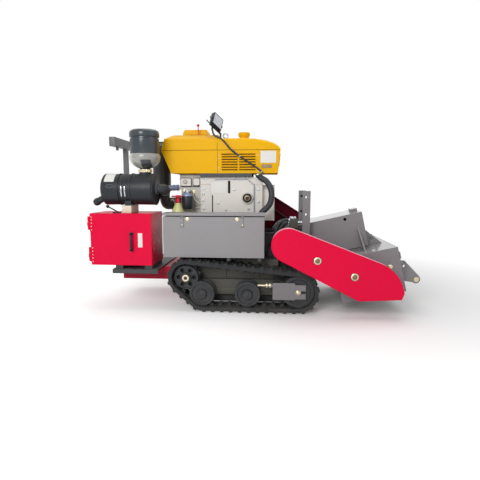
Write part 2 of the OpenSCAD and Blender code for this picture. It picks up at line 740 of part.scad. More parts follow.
// Crankcase with the raised gear cover, the starter boss and the rear casing
cover_x0 = block_x0 + 99;
cover_x1 = block_x1 - 69;
cover_outline = [[cover_x0, block_z0 + 30], [cover_x0, block_top - 134], [cover_x0 + 28, block_top - 49],
    [cover_x0 + 50, block_top - 21], [cover_x1 - 51, block_top - 21], [cover_x1, block_top - 68],
    [cover_x1, block_z0 + 30]];
boss_z = block_top - 174;
module engine_block() {
    color(engine_grey) machine() {
        difference() {
            union() {
                block(block_x0, block_x1, -block_half, block_half, block_z0, block_top);
                block(block_x0, block_x1, -block_half - 6, block_half, block_top - 60, block_top);
            }
            y_rod(crank_x, crank_z, 0, block_half + 1, crank_r + seat);
        }
        side_slab(-block_half - gear_cover_t, -block_half + 1) polygon(cover_outline);
        y_rod(crank_x, boss_z, -block_half - gear_cover_t - 12, -block_half - gear_cover_t + 1, 42);
        y_rod(crank_x, boss_z, -block_half - gear_cover_t - 18, -block_half - gear_cover_t - 11, 24);
        end_slab(block_x1 - 1, block_x1 + 101) polygon([[50 - block_half, block_z0 + 100], [block_half - 50, block_z0 + 100],
            [block_half - 50, block_top - 104], [block_half - 90, block_top - 64], [90 - block_half, block_top - 64],
            [50 - block_half, block_top - 104]]);
    }
}
stub_len = 80;
stub_y = -60;
stub_z = 830;
module cylinder_head() {
    color(engine_grey) machine() difference() {
        union() {
            block(head_x0, block_x0, -head_half, head_half, block_z0 + 100, block_top - 16);
            // Inlet stub at the rear
            block(head_x0 - stub_len, head_x0 + 1, stub_y - 40, stub_y + 40, stub_z - 40, stub_z + 40);
        }
        for (x = [head_x0 + 12, head_x0 + 92])
            block(x, x + 66, -head_half - 1, -head_half + 6, block_top - 79, block_top - 29);
        for (k = [0:4]) block(head_x0 + 100, block_x0 - 12, -head_half - 1, -head_half + 14, 760 + 28 * k, 772 + 28 * k);
    }
}

// Flywheel with the crankshaft's end and the belt pulley
flywheel_y0 = block_half + 12;
pulley_y0 = guard_y0 + 10;
pulley_y1 = pulley_y0 + belts_w + 6;
module flywheel() {
    color(dark) machine() difference() {
        union() {
            turned_y(crank_x, 0, crank_z) polygon([[0, 60], [crank_r, 60], [crank_r, flywheel_y0], [60, flywheel_y0],
                [66, flywheel_y0 + 18], [flywheel_r - 42, flywheel_y0 + 18], [flywheel_r - 36, flywheel_y0],
                [flywheel_r, flywheel_y0], [flywheel_r, flywheel_y0 + flywheel_t],
                [flywheel_r - 36, flywheel_y0 + flywheel_t], [flywheel_r - 42, flywheel_y0 + 40],
                [60, flywheel_y0 + 40], [54, pulley_y0], [crank_pulley_r + 12, pulley_y0],
                [crank_pulley_r, pulley_y0 + 3], [crank_pulley_r, pulley_y1 - 3],
                [crank_pulley_r + 12, pulley_y1], [40, pulley_y1], [40, pulley_y1 - 30], [0, pulley_y1 - 30]]);
        }
        for (k = [0:4]) translate([crank_x, 0, crank_z]) rotate([0, 72 * k, 0])
            y_rod(108, 0, flywheel_y0 - 1, flywheel_y0 + flywheel_t, 24);
    }
}

// Jackshaft through the head's pivot tube, with bearing collars and the big belt pulley
tube_bore = jack_r + 5;
jack_y0 = -case_in - 30;
module jackshaft() {
    color(steel) machine() difference() {
        turned_y(pivot_x, 0, pivot_z) polygon([[0, jack_y0], [jack_r, jack_y0], [jack_r, -case_in + 20],
            [tube_bore - seat, -case_in + 20], [tube_bore - seat, -case_in + 45], [jack_r, -case_in + 45],
            [jack_r, 190], [tube_bore - seat, 190], [tube_bore - seat, 225], [jack_r, 225],
            [jack_r, pulley_y0 - 8], [50, pulley_y0 - 8], [50, pulley_y0 + 14],
            [jack_pulley_r - 22, pulley_y0 + 14], [jack_pulley_r - 20, pulley_y0],
            [jack_pulley_r + 12, pulley_y0], [jack_pulley_r, pulley_y0 + 3],
            [jack_pulley_r, pulley_y1 - 3], [jack_pulley_r + 12, pulley_y1],
            [jack_pulley_r - 20, pulley_y1], [jack_pulley_r - 22, pulley_y1 - 14], [50, pulley_y1 - 14],
            [50, pulley_y1], [0, pulley_y1]]);
        for (k = [0:5]) translate([pivot_x, 0, pivot_z]) rotate([0, 60 * k, 0])
            y_rod(84, 0, pulley_y0, pulley_y1, 21);
    }
}

// Belt loop
belt_circles = [[crank_x, crank_z, crank_pulley_r], [pivot_x, pivot_z, jack_pulley_r]];
module v_belts() {
    color(rubber_black) machine() for (k = [0:2]) side_slab(pulley_y0 + 4 + k * belts_w / 3,
        pulley_y0 + 4 + (k + 1) * belts_w / 3 - 3) difference() {
        polygon(loop_outline(belt_circles, 10, 10));
        polygon(loop_outline(belt_circles, seat, 10));
    }
}

// Belt guard: a pan open toward the machine
guard_circles = [[crank_x, crank_z, 199], [pivot_x, pivot_z, 236]];
guard_bottom = deck_z + 6;
module guard_pan(y0, y1, t) {
    side_slab(y0, y1) intersection() {
        polygon(loop_outline(guard_circles, -t, 8));
        translate([-600, guard_bottom + t]) square([1400, 900]);
    }
}
module belt_guard() {
    color(crimson) machine() difference() {
        guard_pan(guard_y0, guard_y0 + guard_d, 0);
        guard_pan(guard_y0 - 1, guard_y0 + guard_d - guard_wall, guard_wall);
    }
}

// Two rails that carry the hood on the crankcase
module hood_cradle() {
    color(dark) machine() both_sides() block(block_x0, block_x1 - 90, 120, hood_half - 2, block_top,
        shroud_z0);
}

// Radiator shroud: an open sleeve with pressed louvres on both sides
shroud_x0 = -707;
shroud_x1 = 180;
function shroud_sides(t) = [[shroud_x0 + t, shroud_z0 - t], [shroud_x1 - t, shroud_z0 - t], [hood_x1 - t, seam_z + t],
    [hood_x0 + t, seam_z + t]];
louvre_x0 = tank_seam_x + 36;
louvre_z0 = shroud_z0 + 24;
module radiator_shroud() {
    color(yellow) machine() {
        difference() {
            side_slab(-hood_half, hood_half) polygon([[shroud_x0, shroud_z0], [shroud_x1, shroud_z0],
                [hood_x1, seam_z], [hood_x0, seam_z]]);
            side_slab(-hood_half + shroud_wall, hood_half - shroud_wall)
                polygon([[shroud_x0 + shroud_wall + 1, shroud_z0 - 1], [shroud_x1 - shroud_wall, shroud_z0 - 1],
                [hood_x1 - shroud_wall, seam_z + 1], [hood_x0 + shroud_wall + 1, seam_z + 1]]);
            both_sides() for (row = [0:louvre_rows - 1], col = [0, 1])
                block(louvre_x0 + col * (louvre_w + 14), louvre_x0 + col * (louvre_w + 14) + louvre_w,
                    hood_half - shroud_wall - 1, hood_half + 1, louvre_z0 + row * louvre_pitch,
                    louvre_z0 + row * louvre_pitch + 9);
        }
        both_sides() for (row = [0:louvre_rows - 1], col = [0, 1])
            end_slab(louvre_x0 + col * (louvre_w + 14), louvre_x0 + col * (louvre_w + 14) + louvre_w)
                polygon([[hood_half - 1, louvre_z0 + row * louvre_pitch + 12],
                [hood_half - 1, louvre_z0 + row * louvre_pitch + 9.5],
                [hood_half + 7, louvre_z0 + row * louvre_pitch + 1],
                [hood_half + 8, louvre_z0 + row * louvre_pitch + 3], [hood_half, louvre_z0 + row * louvre_pitch + 14]]);
    }
}

// Radiator block that hangs under the water tank
module radiator_core() {
    color(dark) machine() block(tank_seam_x - 130, tank_seam_x - 40, -hood_half + 20, hood_half - 20, shroud_z0 + 12,
        seam_z);
}

// Water tank with sloped shoulders
module water_tank() {
    color(yellow) machine() {
        intersection() {
            side_slab(-hood_half, hood_half) polygon([[hood_x0, seam_z], [tank_seam_x, seam_z],
                [tank_seam_x, water_top], [hood_x0 + 92, water_top], [hood_x0 + 30, water_top - 38]]);
            end_slab(hood_x0, tank_seam_x) polygon([[-hood_half, seam_z], [hood_half, seam_z],
                [hood_half, water_top - 38], [hood_half - 70, water_top], [70 - hood_half, water_top],
                [-hood_half, water_top - 38]]);
        }
        // Hopper cap, its ends rounded
        side_slab(-62, 62) {
            translate([-586, water_top + 12]) square([135, 37]);
            for (x = [-586, -451]) translate([x, water_top + 30.5]) circle(18.5);
        }
        block(-570, -466, -45, 45, water_top - 1, water_top + 13);
    }
}
float_x = -494;
module level_float() {
    color(crimson) machine() {
        z_rod(float_x, -100, water_top, water_top + 8, 9);
        z_rod(float_x, -100, water_top + 7, water_top + 78, 4);
        translate([float_x, -100, water_top + 85]) sphere(12);
    }
}

// Fuel tank, falling in a curve to the front
module fuel_tank() {
    color(yellow) machine() {
        intersection() {
            side_slab(-hood_half, hood_half) polygon(concat([[tank_seam_x, seam_z], [hood_x1, seam_z]],
                [for (k = [0:8]) [hood_x1 - 177 + 177 * sin(90 - k * 11.25), fuel_top - 97 + 97 * sin(k * 11.25)]],
                [[tank_seam_x, fuel_top]]));
            end_slab(tank_seam_x, hood_x1) polygon(concat([[-hood_half, seam_z], [hood_half, seam_z]],
                [for (k = [0:4]) [hood_half - 36 + 36 * cos(k * 22.5), fuel_top - 36 + 36 * sin(k * 22.5)]],
                [for (k = [4:-1:0]) [36 - hood_half - 36 * cos(k * 22.5), fuel_top - 36 + 36 * sin(k * 22.5)]]));
        }
        z_rod(-108, -60, fuel_top - 1, fuel_top + 12, 38);
    }
}
module fuel_cap() {
    color(steel) machine() {
        z_rod(-108, -60, fuel_top + 12, fuel_top + 40, fuel_cap_d / 2);
        translate([-108, -60, fuel_top + 40]) cylinder(h = 16, r1 = fuel_cap_d / 2, r2 = fuel_cap_d / 2 - 14);
    }
}

// Lifting eye between the tanks
module lifting_eye() {
    color(dark) machine() {
        translate([-270, -20, fuel_top + 38]) rotate([90, 0, 0]) rotate_extrude() translate([20, 0]) circle(6);
        z_rod(-270, -20, fuel_top, fuel_top + 19, 9);
        z_rod(-270, -20, fuel_top, fuel_top + 6, 18);
    }
}

// Upright muffler on its exhaust bend
muffler_x = -872;
muffler_y = 115;
muffler_r = 80;
module muffler() {
    color(dark) machine() {
        turned_z(muffler_x, muffler_y) polygon([[0, 960], [50, 960], [muffler_r, 985], [muffler_r, 1345],
            [60, 1368], [24, 1374], [24, 1387], [0, 1387]]);
        z_rod(muffler_x, muffler_y, 915, 961, 26);
        translate([muffler_x + 55, muffler_y, 915]) rotate([-90, 0, 0]) rotate([0, 0, 90])
            rotate_extrude(angle = 90) translate([55, 0]) circle(26);
        x_rod(muffler_x + 54, head_x0, muffler_y, 860, 26);
    }
}
module turned_z(x, y) {
    translate([x, y, 0]) rotate_extrude() children();
}

// Air cleaner on its saddle
dust_pipe = 100.5;
dust_pipe_r = 26;
module air_cleaner() {
    color(rubber_black) machine() {
        translate([0, -cleaner_y, cleaner_z]) rotate([0, 90, 0]) rotate_extrude() polygon([[0, cleaner_x0],
            [cleaner_r - 20, cleaner_x0], [cleaner_r - 2, cleaner_x0 + 16], [cleaner_r - 4, -1096],
            [cleaner_r, -1096], [cleaner_r, -1082], [cleaner_r - 8, -1082], [cleaner_r - 8, -993],
            [cleaner_r, -993], [cleaner_r, -979], [cleaner_r - 4, -979], [cleaner_r - 2, cleaner_x1 - 16],
            [cleaner_r - 16, cleaner_x1], [0, cleaner_x1]]);
        // Neck up to the pre-cleaner
        z_rod(neck_x, -cleaner_y, cleaner_z, 1092, neck_r);
        // Dust pipe and its drain knob
        translate([-1209, -cleaner_y - 60, 900]) rotate([0, -124, 0]) {
            cylinder(h = dust_pipe, r = dust_pipe_r);
            translate([0, 0, dust_pipe]) sphere(dust_pipe_r);
        }
    }
}
module cleaner_saddle() {
    color(cream) machine() difference() {
        block(-1043, -964, -470, -290, cabinet_z1, 912);
        x_rod(-1050, -960, -cleaner_y, cleaner_z, cleaner_r + seat);
    }
}
module precleaner_bowl() {
    color(smoke) machine() turned_z(neck_x, -cleaner_y) polygon([[0, 1092], [neck_r + 6, 1092],
        [neck_r + 6, 1119], [37, 1121], [37, 1147], [70, 1168], [bowl_r - 10, 1236], [bowl_r, 1240],
        [bowl_r, 1252], [bowl_r - 4, 1256], [bowl_r - 6, 1380], [bowl_r, 1386], [bowl_r, 1396],
        [bowl_r - 14, 1410], [60, 1424], [24, 1426], [20, 1433.5], [0, 1433.5]]);
}

// Intake hose: out of the air cleaner, back and down into the head's inlet stub
intake_route = [[-787, -380, 985], [-764, -380, 985], [-748, -372, 982], [-740, -350, 974], [-740, -318, 956],
    [-748, -282, 926], [-757, -240, 892], [-762, -200, 862], [-764, -160, 842], [-760, -120, 832],
    [-750, -86, stub_z], [-736, -64, stub_z],
    [head_x0 - stub_len - seat, stub_y, stub_z]];
module intake_hose() {
    color(rubber_black) machine() {
        hose(intake_route, intake_r);
    }
}

// Fuel filter on its bracket
filter_x = -550;
filter_y = -243;
module fuel_filter() {
    color(dark) machine() {
        turned_z(filter_x, filter_y) polygon([[0, 800], [36, 800], [41.5, 808], [41.5, 930], [34, 941], [0, 941]]);
        z_rod(filter_x, filter_y, 935, 958, 16);
        block(filter_x - 21, filter_x + 21, filter_y, -head_half, 944, 958);
    }
}

// Fluid bottle with its flanged cap
bottle_x = -650;
bottle_y = -212;
bottle_z0 = 640;
bottle_z1 = 866;
module fluid_bottle() {
    color(bottle_yellow) machine() turned_z(bottle_x, bottle_y) polygon([[0, bottle_z0], [50, bottle_z0],
        [53, bottle_z0 + 4], [53, bottle_z0 + 140], [24, bottle_z1 - 4], [20, bottle_z1], [0, bottle_z1]]);
}
module bottle_cap() {
    color(crimson) machine() turned_z(bottle_x, bottle_y) polygon([[0, bottle_z1], [18.5, bottle_z1],
        [18.5, bottle_z1 + 30], [56, bottle_z1 + 35], [56, bottle_z1 + 42], [20, bottle_z1 + 46],
        [0, bottle_z1 + 46]]);
}

// Work lamp on its bracket, turned to the front and the near side
lamp_x = -310;
lamp_y = -140;
lamp_turn = -35;
lamp_z0 = fuel_top + 83;
lamp_z1 = lamp_z0 + 137;
lamp_half = 48;
yoke_z = fuel_top + 60;
module work_lamp() {
    color(dark) machine() translate([lamp_x, lamp_y, 0]) {
        rotate([0, 0, lamp_turn]) {
            block(-42, 32, -lamp_half, lamp_half, lamp_z0, lamp_z1);
            for (side = [-1, 1]) scale([1, side, 1])
                block(-8, 8, lamp_half - 1, lamp_half + 7, yoke_z, lamp_z1 - 40);
            block(-8, 8, -lamp_half - 7, lamp_half + 7, yoke_z, yoke_z + 8);
        }
        z_rod(14, 0, fuel_top, yoke_z + 1, 9);
        z_rod(14, 0, fuel_top, fuel_top + 5, 20);
        block(-6, 23, -9, 9, yoke_z - 6, yoke_z + 1);
    }
}
module lamp_lens() {
    color(steel) machine() translate([lamp_x, lamp_y, 0]) rotate([0, 0, lamp_turn])
        block(32, 38, 5 - lamp_half, lamp_half - 5, lamp_z0 + 5, lamp_z1 - 5);
}

// A tube along a route of points: rings of eight corners, each turned to the route
tube_sides = 10;
function unit(v) = v / norm(v);
function route_dir(p, i) = unit(p[min(i + 1, len(p) - 1)] - p[max(i - 1, 0)]);
module hose(p, r) {
    rings = [for (i = [0:len(p) - 1]) let (d = route_dir(p, i), u = unit(cross(d, abs(d[1]) < 0.9 ? [0, 1, 0] : [1, 0, 0])),
        v = cross(d, u)) for (k = [0:tube_sides - 1]) p[i] + r * (cos(k * 360 / tube_sides) * u
        + sin(k * 360 / tube_sides) * v)];
    last = (len(p) - 1) * tube_sides;
    polyhedron(rings, concat([[for (k = [0:tube_sides - 1]) k]],
        [for (i = [0:len(p) - 2], k = [0:tube_sides - 1]) let (a = i * tube_sides + k,
        b = i * tube_sides + (k + 1) % tube_sides) [a, a + tube_sides, b + tube_sides, b]],
        [[for (k = [tube_sides - 1:-1:0]) last + k]]));
}
hose_route = [[19, -196, shroud_z0 - seat], [19, -196, shroud_z0 - 16], [40, -216, shroud_z0 - 36],
    [84, -238, shroud_z0 - 64], [116, -262, 985], [129, -270, 940], [129, -272, 894], [118, -270, 850],
    [94, -268, 815], [60, -266, 785], [37, -264, 750], [26, -262, 700], [22, -262, 640], [20, -262, 560],
    [20, -262, 500], [20, -262, 430]];
module hose_bundle() {
    color(rubber_black) machine() hose(hose_route, 23);
}
cable_route = [[-352, -147, lamp_z0 - seat], [-352, -147, fuel_top + 70], [-354, -158, fuel_top + 50],
    [-352, -176, fuel_top + 28], [-346, -200, fuel_top + 11], [-336, -217, fuel_top - 6],
    [-312, -218, seam_z + 67], [-280, -218, seam_z + 52], [-235, -222, seam_z + 21], [-195, -224, seam_z - 17],
    [-150, -224, seam_z - 51], [-90, -224, seam_z - 93], [-30, -225, seam_z - 129], [10, -230, seam_z - 171],
    [34, -236, seam_z - 197], [46, -246, seam_z - 218]];
module lamp_cable() {
    color(rubber_black) machine() hose(cable_route, 4);
}

// Lift valve on the near cheek plate, with its hose down to the deck
valve_x = 310;
valve_y = -268;
module lift_valve() {
    color(steel) machine() {
        block(valve_x - 34, valve_x + 34, -cheek_in - cheek_t, -cheek_in, cheek_top, cheek_top + 14);
        block(valve_x - 34, valve_x + 34, valve_y - 28, -cheek_in - cheek_t + 12, cheek_top + 13, cheek_top + 78);
        for (x = [-18, 18]) z_rod(valve_x + x, valve_y, cheek_top + 77, cheek_top + 92, 11);
    }
}
valve_hose_route = [[292, -268, cheek_top + 92 + seat], [292, -268, 748], [282, -270, 766], [260, -276, 774],
    [236, -282, 762], [222, -286, 738], [212, -288, 700], [196, -288, 650], [178, -286, 600], [166, -284, 550],
    [160, -282, 500], [158, -280, 450], [158, -280, deck_z + seat]];
module lift_hoses() {
    color(rubber_black) machine() hose(valve_hose_route, 9);
}

// The head and all that rides on it are drawn level about the pivot, then raised
module raised() {
    translate([pivot_x, 0, pivot_z]) rotate([0, -head_rise, 0]) children();
}
drum_z = -drum_down;
module head_frame() {
    color(plate_grey) machine() raised() difference() {
        union() {
            // Boom sides with their pivot eyes
            both_sides() side_slab(boom_half - boom_t, boom_half) union() {
                polygon([[0, -60], [50, -boom_down], [boom_len, -boom_down], [boom_len, boom_up], [50, boom_up],
                    [0, 60]]);
                circle(60);
            }
            block(40, boom_len, 1 - boom_half, boom_half - 1, boom_up - boom_t, boom_up);
            block(50, boom_len, 1 - boom_half, boom_half - 1, -boom_down, boom_t - boom_down);
            block(boom_len - boom_t, boom_len, 1 - boom_half, boom_half - 1, -boom_down, boom_up);
            y_rod(0, 0, seat - case_in, cheek_in + cheek_t + 6, tube_r);
            // Lugs of the lift rod's pin
            for (y = [-34, 22]) side_slab(y, y + 12) polygon([[lift_rod_x - 40, 1 - boom_down],
                [lift_rod_x + 26, 1 - boom_down], [lift_rod_x + 16, -lift_rod_down - 16],
                [lift_rod_x - 16, -lift_rod_down - 16]]);
            y_rod(lift_rod_x, -lift_rod_down, -40, 40, pin_r);
            // Cap block at the boom's end
            block(boom_len - 60, boom_len - 10, -60, 60, boom_up - 1, boom_up + 24);
        }
        y_rod(0, 0, -case_in - 1, cheek_in + cheek_t + 20, tube_bore);
        // Hole through the boom's sides
        y_rod(497, 62, -boom_half - 1, boom_half + 1, 12.5);
    }
}

// Cutter box: plates round the drum, open below
module drum_housing() {
    color(plate_grey) machine() raised() difference() {
        union() {
            both_sides() side_slab(box_half - box_t, box_half) polygon([[box_x0, -box_up - 40],
                [box_x0 + 80, -box_up], [box_x1, -box_up], [box_x1, -box_down], [box_x0, -box_down]]);
            block(box_x0 + 80, box_x1, 1 - box_half, box_half - 1, -box_up - box_t, -box_up);
            side_slab(1 - box_half, box_half - 1) polygon([[box_x0, -box_up - 40], [box_x0 + 80, -box_up],
                [box_x0 + 81, -box_up - 14], [box_x0 + box_t, -box_up - 48], [box_x0 + box_t, -box_down + 60],
                [box_x0, -box_down + 60]]);
            block(box_x1 - box_t, box_x1, 1 - box_half, box_half - 1, -box_down + 40, -box_up);
            // Packing under the boom
            block(box_x0 + 84, boom_len, 20 - boom_half, boom_half - 20, -box_up - 1, -boom_down);
            // Gussets up to the boom's end and sides
            for (y = [-120, 108]) side_slab(y, y + 12) polygon([[boom_len, -box_up - 1], [770, -box_up - 1],
                [boom_len, -50]]);
            both_sides() end_slab(580, 592) polygon([[boom_half, -box_up - 1], [330, -box_up - 1],
                [boom_half, -20]]);
            // Bearing housings of the drum
            both_sides() y_rod(drum_x, drum_z, box_half - 1, box_half + 24, 86);
            y_rod(drum_x, drum_z, seat - case_in, -box_half, 62);
        }
        y_rod(drum_x, drum_z, -case_in - 1, box_half + 40, drum_axle_r + seat);
        for (y = [-121, 107]) y_rod(690, -150, y, y + 14, 16);
    }
}

// Pair of arms that carry a cross pin at the front
arm_in = 290;
arm_t = 16;
arm_tip = [933, -517];
arm_out = arm_in + arm_t;
cross_pin_r = 12;
module push_arms() {
    color(plate_grey) machine() raised() difference() {
        both_sides() side_slab(arm_in, arm_out) {
            polygon([[box_x1, -330], [box_x1 + 60, -350], [965, -500], [940, -550], [box_x1, -500]]);
            translate(arm_tip) circle(34);
        }
        y_rod(862, -392, -arm_out - 1, arm_out + 1, 10);
        y_rod(arm_tip[0], arm_tip[1], -arm_out - 1, arm_out + 1, cross_pin_r + seat);
    }
}

// Pin through both arms, with a collar outside each
module cross_pin() {
    color(steel) machine() raised() turned_y(arm_tip[0], 0, arm_tip[1]) polygon([[0, -arm_out - 20],
        [cross_pin_r, -arm_out - 20], [cross_pin_r, -arm_out - 12], [cross_pin_r + 8, -arm_out - 12],
        [cross_pin_r + 8, -arm_out - seat], [cross_pin_r, -arm_out - seat], [cross_pin_r, arm_out + seat],
        [cross_pin_r + 8, arm_out + seat], [cross_pin_r + 8, arm_out + 12], [cross_pin_r, arm_out + 12],
        [cross_pin_r, arm_out + 20], [0, arm_out + 20]]);
}

// Drive guard: the closed chain case between the jackshaft and the drum
case_circles = [[0, 0, case_r + 1], [drum_x, drum_z, case_r]];
module drive_guard() {
    color(crimson) machine() raised() difference() {
        side_slab(-case_out, -case_in) difference() {
            polygon(loop_outline(case_circles, 0, 7.5));
            translate([drum_x, drum_z]) rotate(-8) translate([-400, -200]) square([700, 200 - 97]);
        }
        y_rod(0, 0, -case_in - 40, -case_in + 1, tube_bore);
        y_rod(drum_x, drum_z, -case_in - 40, -case_in + 1, drum_axle_r + 5);
    }
}

// Milling drum: picks in their holders wind round the barrel from both ends
pick_starts = 4;
module milling_drum() {
    color(dark) machine() raised() translate([drum_x, 0, drum_z]) {
        y_rod(0, 0, -drum_half, drum_half, drum_core_r);
        y_rod(0, 0, -case_in - 30, box_half + 20, drum_axle_r);
        for (k = [0:pick_count - 1])
            let (u = (k + 0.5) / pick_count, y = -drum_half + 14 + u * (2 * drum_half - 28), a = abs(u - 0.5) * 900 + k % pick_starts * 90)
            rotate([0, a, 0]) translate([0, y, drum_core_r]) {
                translate([-22, -11, -6]) cube([38, 22, 26]);
                translate([-4, 0, 8]) rotate([0, 38, 0]) cylinder(h = drum_tip_r - drum_core_r - 4, r1 = 9, r2 = 3);
            }
    }
}

// Lift cylinder, as it stands
lift_rod_at = [pivot_x + lift_rod_x * cos(head_rise) + lift_rod_down * sin(head_rise),
    pivot_z + lift_rod_x * sin(head_rise) - lift_rod_down * cos(head_rise)];
lift_run = lift_rod_at - [lift_base_x, lift_base_z];
lift_len = norm(lift_run);
lift_angle = atan2(lift_run[1], lift_run[0]);
module along_lift() {
    translate([lift_base_x, 0, lift_base_z]) rotate([0, -lift_angle, 0]) children();
}
module lift_barrel() {
    color(dark) machine() along_lift() difference() {
        union() {
            x_rod(20, 225, 0, 0, barrel_r);
            y_rod(0, 0, -26, 26, 22);
        }
        y_rod(0, 0, -27, 27, pin_r + seat);
        x_rod(60, 226, 0, 0, rod_r + seat);
    }
}
module lift_rod() {
    color(steel) machine() along_lift() difference() {
        union() {
            x_rod(125, lift_len - 14, 0, 0, rod_r);
            y_rod(lift_len, 0, -18, 18, 21);
        }
        y_rod(lift_len, 0, -19, 19, pin_r + 3);
    }
}

chassis_frame();
tail_frame();
operator_platform();
handrail();
lift_posts();
engine_rails();
track_near();
track_far();
track_frame_near();
track_frame_far();
sprocket_near();
sprocket_far();
road_wheels_near();
road_wheels_far();
idler_near();
idler_far();
cabinet_body();
cabinet_door();
valve_lever();
toolbox_shelf();
toolbox_body();
toolbox_lid();
engine_block();
cylinder_head();
flywheel();
jackshaft();
v_belts();
belt_guard();
hood_cradle();
radiator_shroud();
radiator_core();
water_tank();
level_float();
fuel_tank();
fuel_cap();
lifting_eye();
muffler();
air_cleaner();
cleaner_saddle();
precleaner_bowl();
intake_hose();
fuel_filter();
fluid_bottle();
bottle_cap();
work_lamp();
lamp_lens();
lamp_cable();
hose_bundle();
lift_valve();
lift_hoses();
head_frame();
drum_housing();
push_arms();
cross_pin();
drive_guard();
milling_drum();
lift_barrel();
lift_rod();
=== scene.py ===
import math

import bmesh
import bpy
import numpy as np
from mathutils import Euler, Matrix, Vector


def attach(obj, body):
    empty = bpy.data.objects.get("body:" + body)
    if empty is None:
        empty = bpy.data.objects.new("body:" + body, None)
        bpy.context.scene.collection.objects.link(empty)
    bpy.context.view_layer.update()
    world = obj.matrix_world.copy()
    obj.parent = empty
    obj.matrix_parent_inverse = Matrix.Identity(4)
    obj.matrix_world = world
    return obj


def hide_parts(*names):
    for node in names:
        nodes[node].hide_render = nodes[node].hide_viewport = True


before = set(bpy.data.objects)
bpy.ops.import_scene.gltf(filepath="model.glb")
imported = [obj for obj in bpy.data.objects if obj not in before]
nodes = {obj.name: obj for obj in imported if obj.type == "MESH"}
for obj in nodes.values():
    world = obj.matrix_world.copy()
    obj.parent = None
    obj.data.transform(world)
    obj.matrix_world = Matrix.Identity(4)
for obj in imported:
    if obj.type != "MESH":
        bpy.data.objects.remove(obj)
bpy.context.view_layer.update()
scene = bpy.context.scene
scene.view_settings.view_transform = "Standard"
midY = 0.05  # the machine's middle plane in the frame
print("frame loaded:", len(nodes), "nodes")


class Wiring:
    # short way to add nodes to one tree and join them
    def __init__(self, tree):
        self.tree = tree

    def add(self, kind, values=None, **settings):
        node = self.tree.nodes.new(kind)
        for key, value in settings.items():
            setattr(node, key, value)
        for key, value in (values or {}).items():
            self.feed(node.inputs[key], value)
        return node

    def feed(self, socket, value):
        if isinstance(value, bpy.types.NodeSocket):
            self.tree.links.new(value, socket)
        else:
            socket.default_value = value

    def place(self):
        return self.add("ShaderNodeTexCoord").outputs["Object"]

    def split(self, vector):
        return self.add("ShaderNodeSeparateXYZ", {0: vector}).outputs

    def lookUp(self):
        return self.split(self.add("ShaderNodeNewGeometry").outputs["Normal"])[2]

    def vector(self, operation, a, b, result="Value"):
        return self.add("ShaderNodeVectorMath", {0: a, 1: b}, operation=operation).outputs[result]

    def math(self, operation, a, b=0.0, clamp=False):
        return self.add("ShaderNodeMath", {0: a, 1: b}, operation=operation, use_clamp=clamp).outputs[0]

    def ramp(self, value, low, high, outLow=0.0, outHigh=1.0):
        d = {"Value": value, "From Min": low, "From Max": high, "To Min": outLow, "To Max": outHigh}
        return self.add("ShaderNodeMapRange", d, clamp=True).outputs["Result"]

    def noise(self, vector, scale, detail=2.0, rough=0.5):
        d = {"Vector": vector, "Scale": scale, "Detail": detail, "Roughness": rough}
        return self.add("ShaderNodeTexNoise", d).outputs["Fac"]

    def blend(self, mask, a, b, how="MIX"):
        node = self.add("ShaderNodeMix", data_type="RGBA", blend_type=how)
        for key, value in ((0, mask), (6, a), (7, b)):
            self.feed(node.inputs[key], value)
        return node.outputs[2]


# the photograph's camera, and the studio round the machine
photoCamera = {
    "place": (0.141, -3.58, 0.98),
    "tiltDeg": 82.7,  # from straight down
    "turnDeg": 4.55,
    "lens": 30.9,
    "sensor": 36.0,
}
studio = {
    "floorHalf": 14.0,
    "floorZ": -0.001,
    "floorColor": 0.86,
    "paintedShadowSpot": (0.9, 0.3, 0.0),  # the floor's own glow is least here, which paints a darker shadow round this spot
    "floorGlow": (0.7, 3.6, 0.04, 0.7),  # between these two distances from the spot it goes between these two levels
    "worldStrength": 0.40,
    "lamps": {
        "keyLight": {"place": (-1.6, -5.2, 2.8), "aim": (0.1, 0.0, 0.7), "size": 2.6, "watts": 150.0},
        "topLight": {"place": (0.4, 0.6, 5.2), "aim": (0.1, 0.0, 0.6), "size": 4.2, "watts": 90.0},
        "sideLight": {"place": (4.6, -1.6, 2.6), "aim": (0.3, 0.0, 0.6), "size": 2.6, "watts": 14.0},
    },
}


def linearColor(*rgb):
    # each 0 to 255 value goes through the sRGB curve to a linear one
    levels = [v / 255.0 for v in rgb]
    return tuple(v / 12.92 if v <= 0.04045 else ((v + 0.055) / 1.055) ** 2.4 for v in levels) + (1.0,)


def makeCamera(d):
    data = bpy.data.cameras.new("photoCamera")
    data.sensor_width = d["sensor"]
    data.lens = d["lens"]
    data.clip_start, data.clip_end = 0.05, 100.0
    cam = bpy.data.objects.new("photoCamera", data)
    cam.location = d["place"]
    cam.rotation_euler = (math.radians(d["tiltDeg"]), 0.0, math.radians(d["turnDeg"]))
    scene.collection.objects.link(cam)
    scene.camera = cam


def makeLamps(lamps):
    for name, d in lamps.items():
        data = bpy.data.lights.new(name, "AREA")
        data.shape = "DISK"
        data.size = d["size"]
        data.energy = d["watts"]
        lamp = bpy.data.objects.new(name, data)
        lamp.location = d["place"]
        aim = Vector(d["aim"]) - Vector(d["place"])
        lamp.rotation_euler = aim.to_track_quat("-Z", "Y").to_euler()
        scene.collection.objects.link(lamp)


def seenDirectly(w):
    # 1 where the camera, a mirror or a glass looks at the surface, else 0
    path = w.add("ShaderNodeLightPath").outputs
    seen = w.math("MAXIMUM", path["Is Camera Ray"], path["Is Glossy Ray"])
    return w.math("MAXIMUM", seen, path["Is Transmission Ray"])


